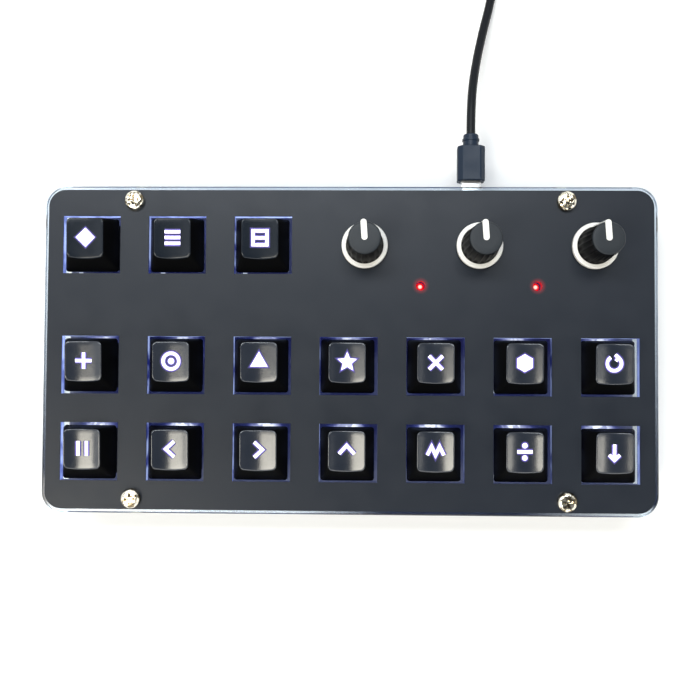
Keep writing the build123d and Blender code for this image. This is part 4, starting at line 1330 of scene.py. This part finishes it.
def legs(name, places, top_z):
    """Two square legs under each lamp, down through the board."""
    vertices = []
    faces = []
    for x, y in places:
        for side in (-pin_step, pin_step):
            corners = [(x + side + a * leg_half, y + b * leg_half) for a, b in quadrants]
            faces += [tuple(len(vertices) + i for i in face) for face in skin_faces(2, 4)]
            vertices += [(a, b, z) for z in (board_top - leg_tail, top_z) for a, b in corners]
    dress(placed(name, vertices, faces), wire, "chassis", ("leds",))


lamp_white = glowing("lamp_white", colour=(0.62, 0.7, 1.0), strength=7.0)
lamp_red = glowing("lamp_red", colour=(0.7, 0.0, 0.004), strength=1.1)
red_tree = lamp_red.node_tree
red_glow = red_tree.nodes["Principled BSDF"].inputs["Emission Color"]
from_axis = indicator_distance(red_tree, position(red_tree)[1])
hot = ramp(red_tree, from_axis, hot_core * MM, hot_edge * MM, 1.0, 0.0)
deep_red = red_glow.links[0].from_socket
feed(red_tree, red_glow, mixed(red_tree, hot, deep_red, hot_white))
key_lamps = [(x, y + lamp_reach) for _, x, y in keys]
red_lamps = [(knob_x + side * indicator_reach, indicator_y) for side in (-1, 1)]
domes("key_lamps", key_lamps, key_lamp_z, lamp_white)
domes("red_lamps", red_lamps, indicator_z, lamp_red)
legs("key_lamp_legs", key_lamps, key_lamp_z)
legs("red_lamp_legs", red_lamps, indicator_z)
print("lamps", len(key_lamps), "white and", len(red_lamps), "red")

# %% [markdown]
# The two plugs are moulded grips around folded metal shells. Each piece is a row of outlines along
# the plug's axis, joined into a skin, and a Bevel modifier rounds the moulded edges.

# %% Plug helpers
moulded_angle = 28


def along(centre, out, side, stations):
    """Rings of points from outlines at distances along an axis."""
    rings = []
    for reach, outline in stations:
        base = Vector(centre) + Vector(out) * reach
        rings.append([base + Vector(side) * p.x + Vector((0, 0, p.y)) for p in outline])
    return rings


def moulded(name, rings, round_by=0.0):
    """A closed skin over the rings, with its moulded edges rounded."""
    faces = skin_faces(len(rings), len(rings[0]))
    piece = placed(name, [p for ring in rings for p in ring], faces, moulded_angle)
    mesh = bmesh.new()
    mesh.from_mesh(piece.data)
    bmesh.ops.recalc_face_normals(mesh, faces=mesh.faces)
    mesh.to_mesh(piece.data)
    mesh.free()
    if round_by:
        bevel = piece.modifiers.new("moulded_edges", "BEVEL")
        bevel.width = round_by * MM
        bevel.segments = 3
        bevel.angle_limit = math.radians(moulded_angle)
        bevel.harden_normals = True
    return piece


def faceted(half_x, half_y, cut):
    """A rectangle with its corners cut off."""
    corners = []
    for side_x, side_y in quadrants:
        on_side = Vector((side_x * half_x, side_y * (half_y - cut)))
        on_top = Vector((side_x * (half_x - cut), side_y * half_y))
        corners += [on_side, on_top] if side_x == side_y else [on_top, on_side]
    return corners


def folded_shell(half_x, half_y, wall, start, end):
    """Stations of a thin tube with a wall, open at both ends."""
    outer = rounded_rectangle(half_x, half_y, 2 * wall, 4, 2)
    inner = rounded_rectangle(half_x - wall, half_y - wall, wall, 4, 2)
    return [(start, outer), (end, outer), (end, inner), (start, inner), (start, outer)]


def plug(solid, start, out, side, pieces):
    """The dressed pieces of one plug, which together stand for its solid."""
    made = []
    for name, stations, material, round_by in pieces:
        piece = moulded(name, along(start, out, side, stations), round_by)
        made.append(dress(piece, material, "chassis", (solid,)))
    return made


lead_plastic = finish(
    "lead_plastic", dark=(0.006, 0.015, 0.033), light=(0.011, 0.022, 0.044),
    smooth=0.34, dull=0.46, grain=2200.0, bump=0.07, Specular_IOR_Level=0.25,
)
shell_metal = finish(
    "shell_metal", dark=(0.86, 0.86, 0.85), light=(0.95, 0.95, 0.94),
    smooth=0.25, dull=0.4, grain=900.0, bump=0.04, mottle=200.0, Metallic=0.7,
)
print("plug finishes", lead_plastic.name, shell_metal.name)

# %% [markdown]
# The plug at the keypad has a faceted grip and a round collar with one raised ridge, which keeps the
# lead from kinking. A short bright length of its shell shows between the grip and the panel.

# %% Plug at the keypad
plug_low, plug_high = (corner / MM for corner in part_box("micro_usb_plug"))
plug_start = (lead_start.x, plug_high.y, lead_start.z)
collar_length = 4.3
collar_overlap = 0.2
collar_profile = ((0, 2.4), (0.35, 2.65), (1.4, 2.65), (1.55, 3.0), (2.25, 3.0), (2.4, 2.7))
collar_end_radius = 2.75
plug_length = 12.3
plug_section = faceted(half_x=4.75, half_y=3.5, cut=1.65)
plug_face = collar_length + plug_length
plug_shell_root = 3.0
collar_line = [(reach, circle(radius)) for reach, radius in collar_profile]
collar_line.append((collar_length + collar_overlap, circle(collar_end_radius)))
grip_line = [(collar_length, plug_section), (plug_face, plug_section)]
shell_line = folded_shell(
    half_x=3.42, half_y=1.02, wall=0.25, start=plug_face - plug_shell_root, end=plug_high.y - plug_low.y
)
near_pieces = plug(
    "micro_usb_plug",
    start=plug_start,
    out=(0, -1, 0),
    side=(1, 0, 0),
    pieces=(
        ("micro_plug_grip", grip_line, lead_plastic, 0.35),
        ("micro_plug_collar", collar_line, lead_plastic, 0.0),
        ("micro_plug_shell", shell_line, shell_metal, 0.0),
    ),
)
print("plug at the keypad", [piece.name for piece in near_pieces])

# %% [markdown]
# The plug at the far end is not in the picture. It is the usual flat block, with a tapered collar, an
# open shell and a tongue inside the shell that would carry the contacts.

# %% Plug at the far end
host_collar = 7.0
host_length = 27.0
host_face = host_collar + host_length
host_shell_length = 12.0
host_root = 6.0
host_section = rounded_rectangle(half_x=8.0, half_y=host_half_height, corner=1.6)
tongue_drop = Vector((0, -0.85))
tongue_inset = 0.6
tongue_outline = rounded_rectangle(half_x=5.5, half_y=0.9, corner=0.2, per_corner=2, per_side=2)
tongue_section = [p + tongue_drop for p in tongue_outline]
shell_start = host_face - host_root
shell_end = host_face + host_shell_length
host_grip = [(host_collar, host_section), (host_face, host_section)]
host_taper = [(0, circle(1.95)), (host_collar + collar_overlap, circle(3.0))]
host_shell = folded_shell(half_x=6.0, half_y=2.25, wall=0.35, start=shell_start, end=shell_end)
host_tongue = [(shell_start, tongue_section), (shell_end - tongue_inset, tongue_section)]
far_pieces = plug(
    "usb_a_plug",
    start=host_start,
    out=(-1, 0, 0),
    side=(0, 1, 0),
    pieces=(
        ("host_plug_grip", host_grip, lead_plastic, 0.6),
        ("host_plug_collar", host_taper, lead_plastic, 0.0),
        ("host_plug_shell", host_shell, shell_metal, 0.0),
        ("host_plug_tongue", host_tongue, lead_plastic, 0.0),
    ),
)
print("plug at the far end", [piece.name for piece in far_pieces])
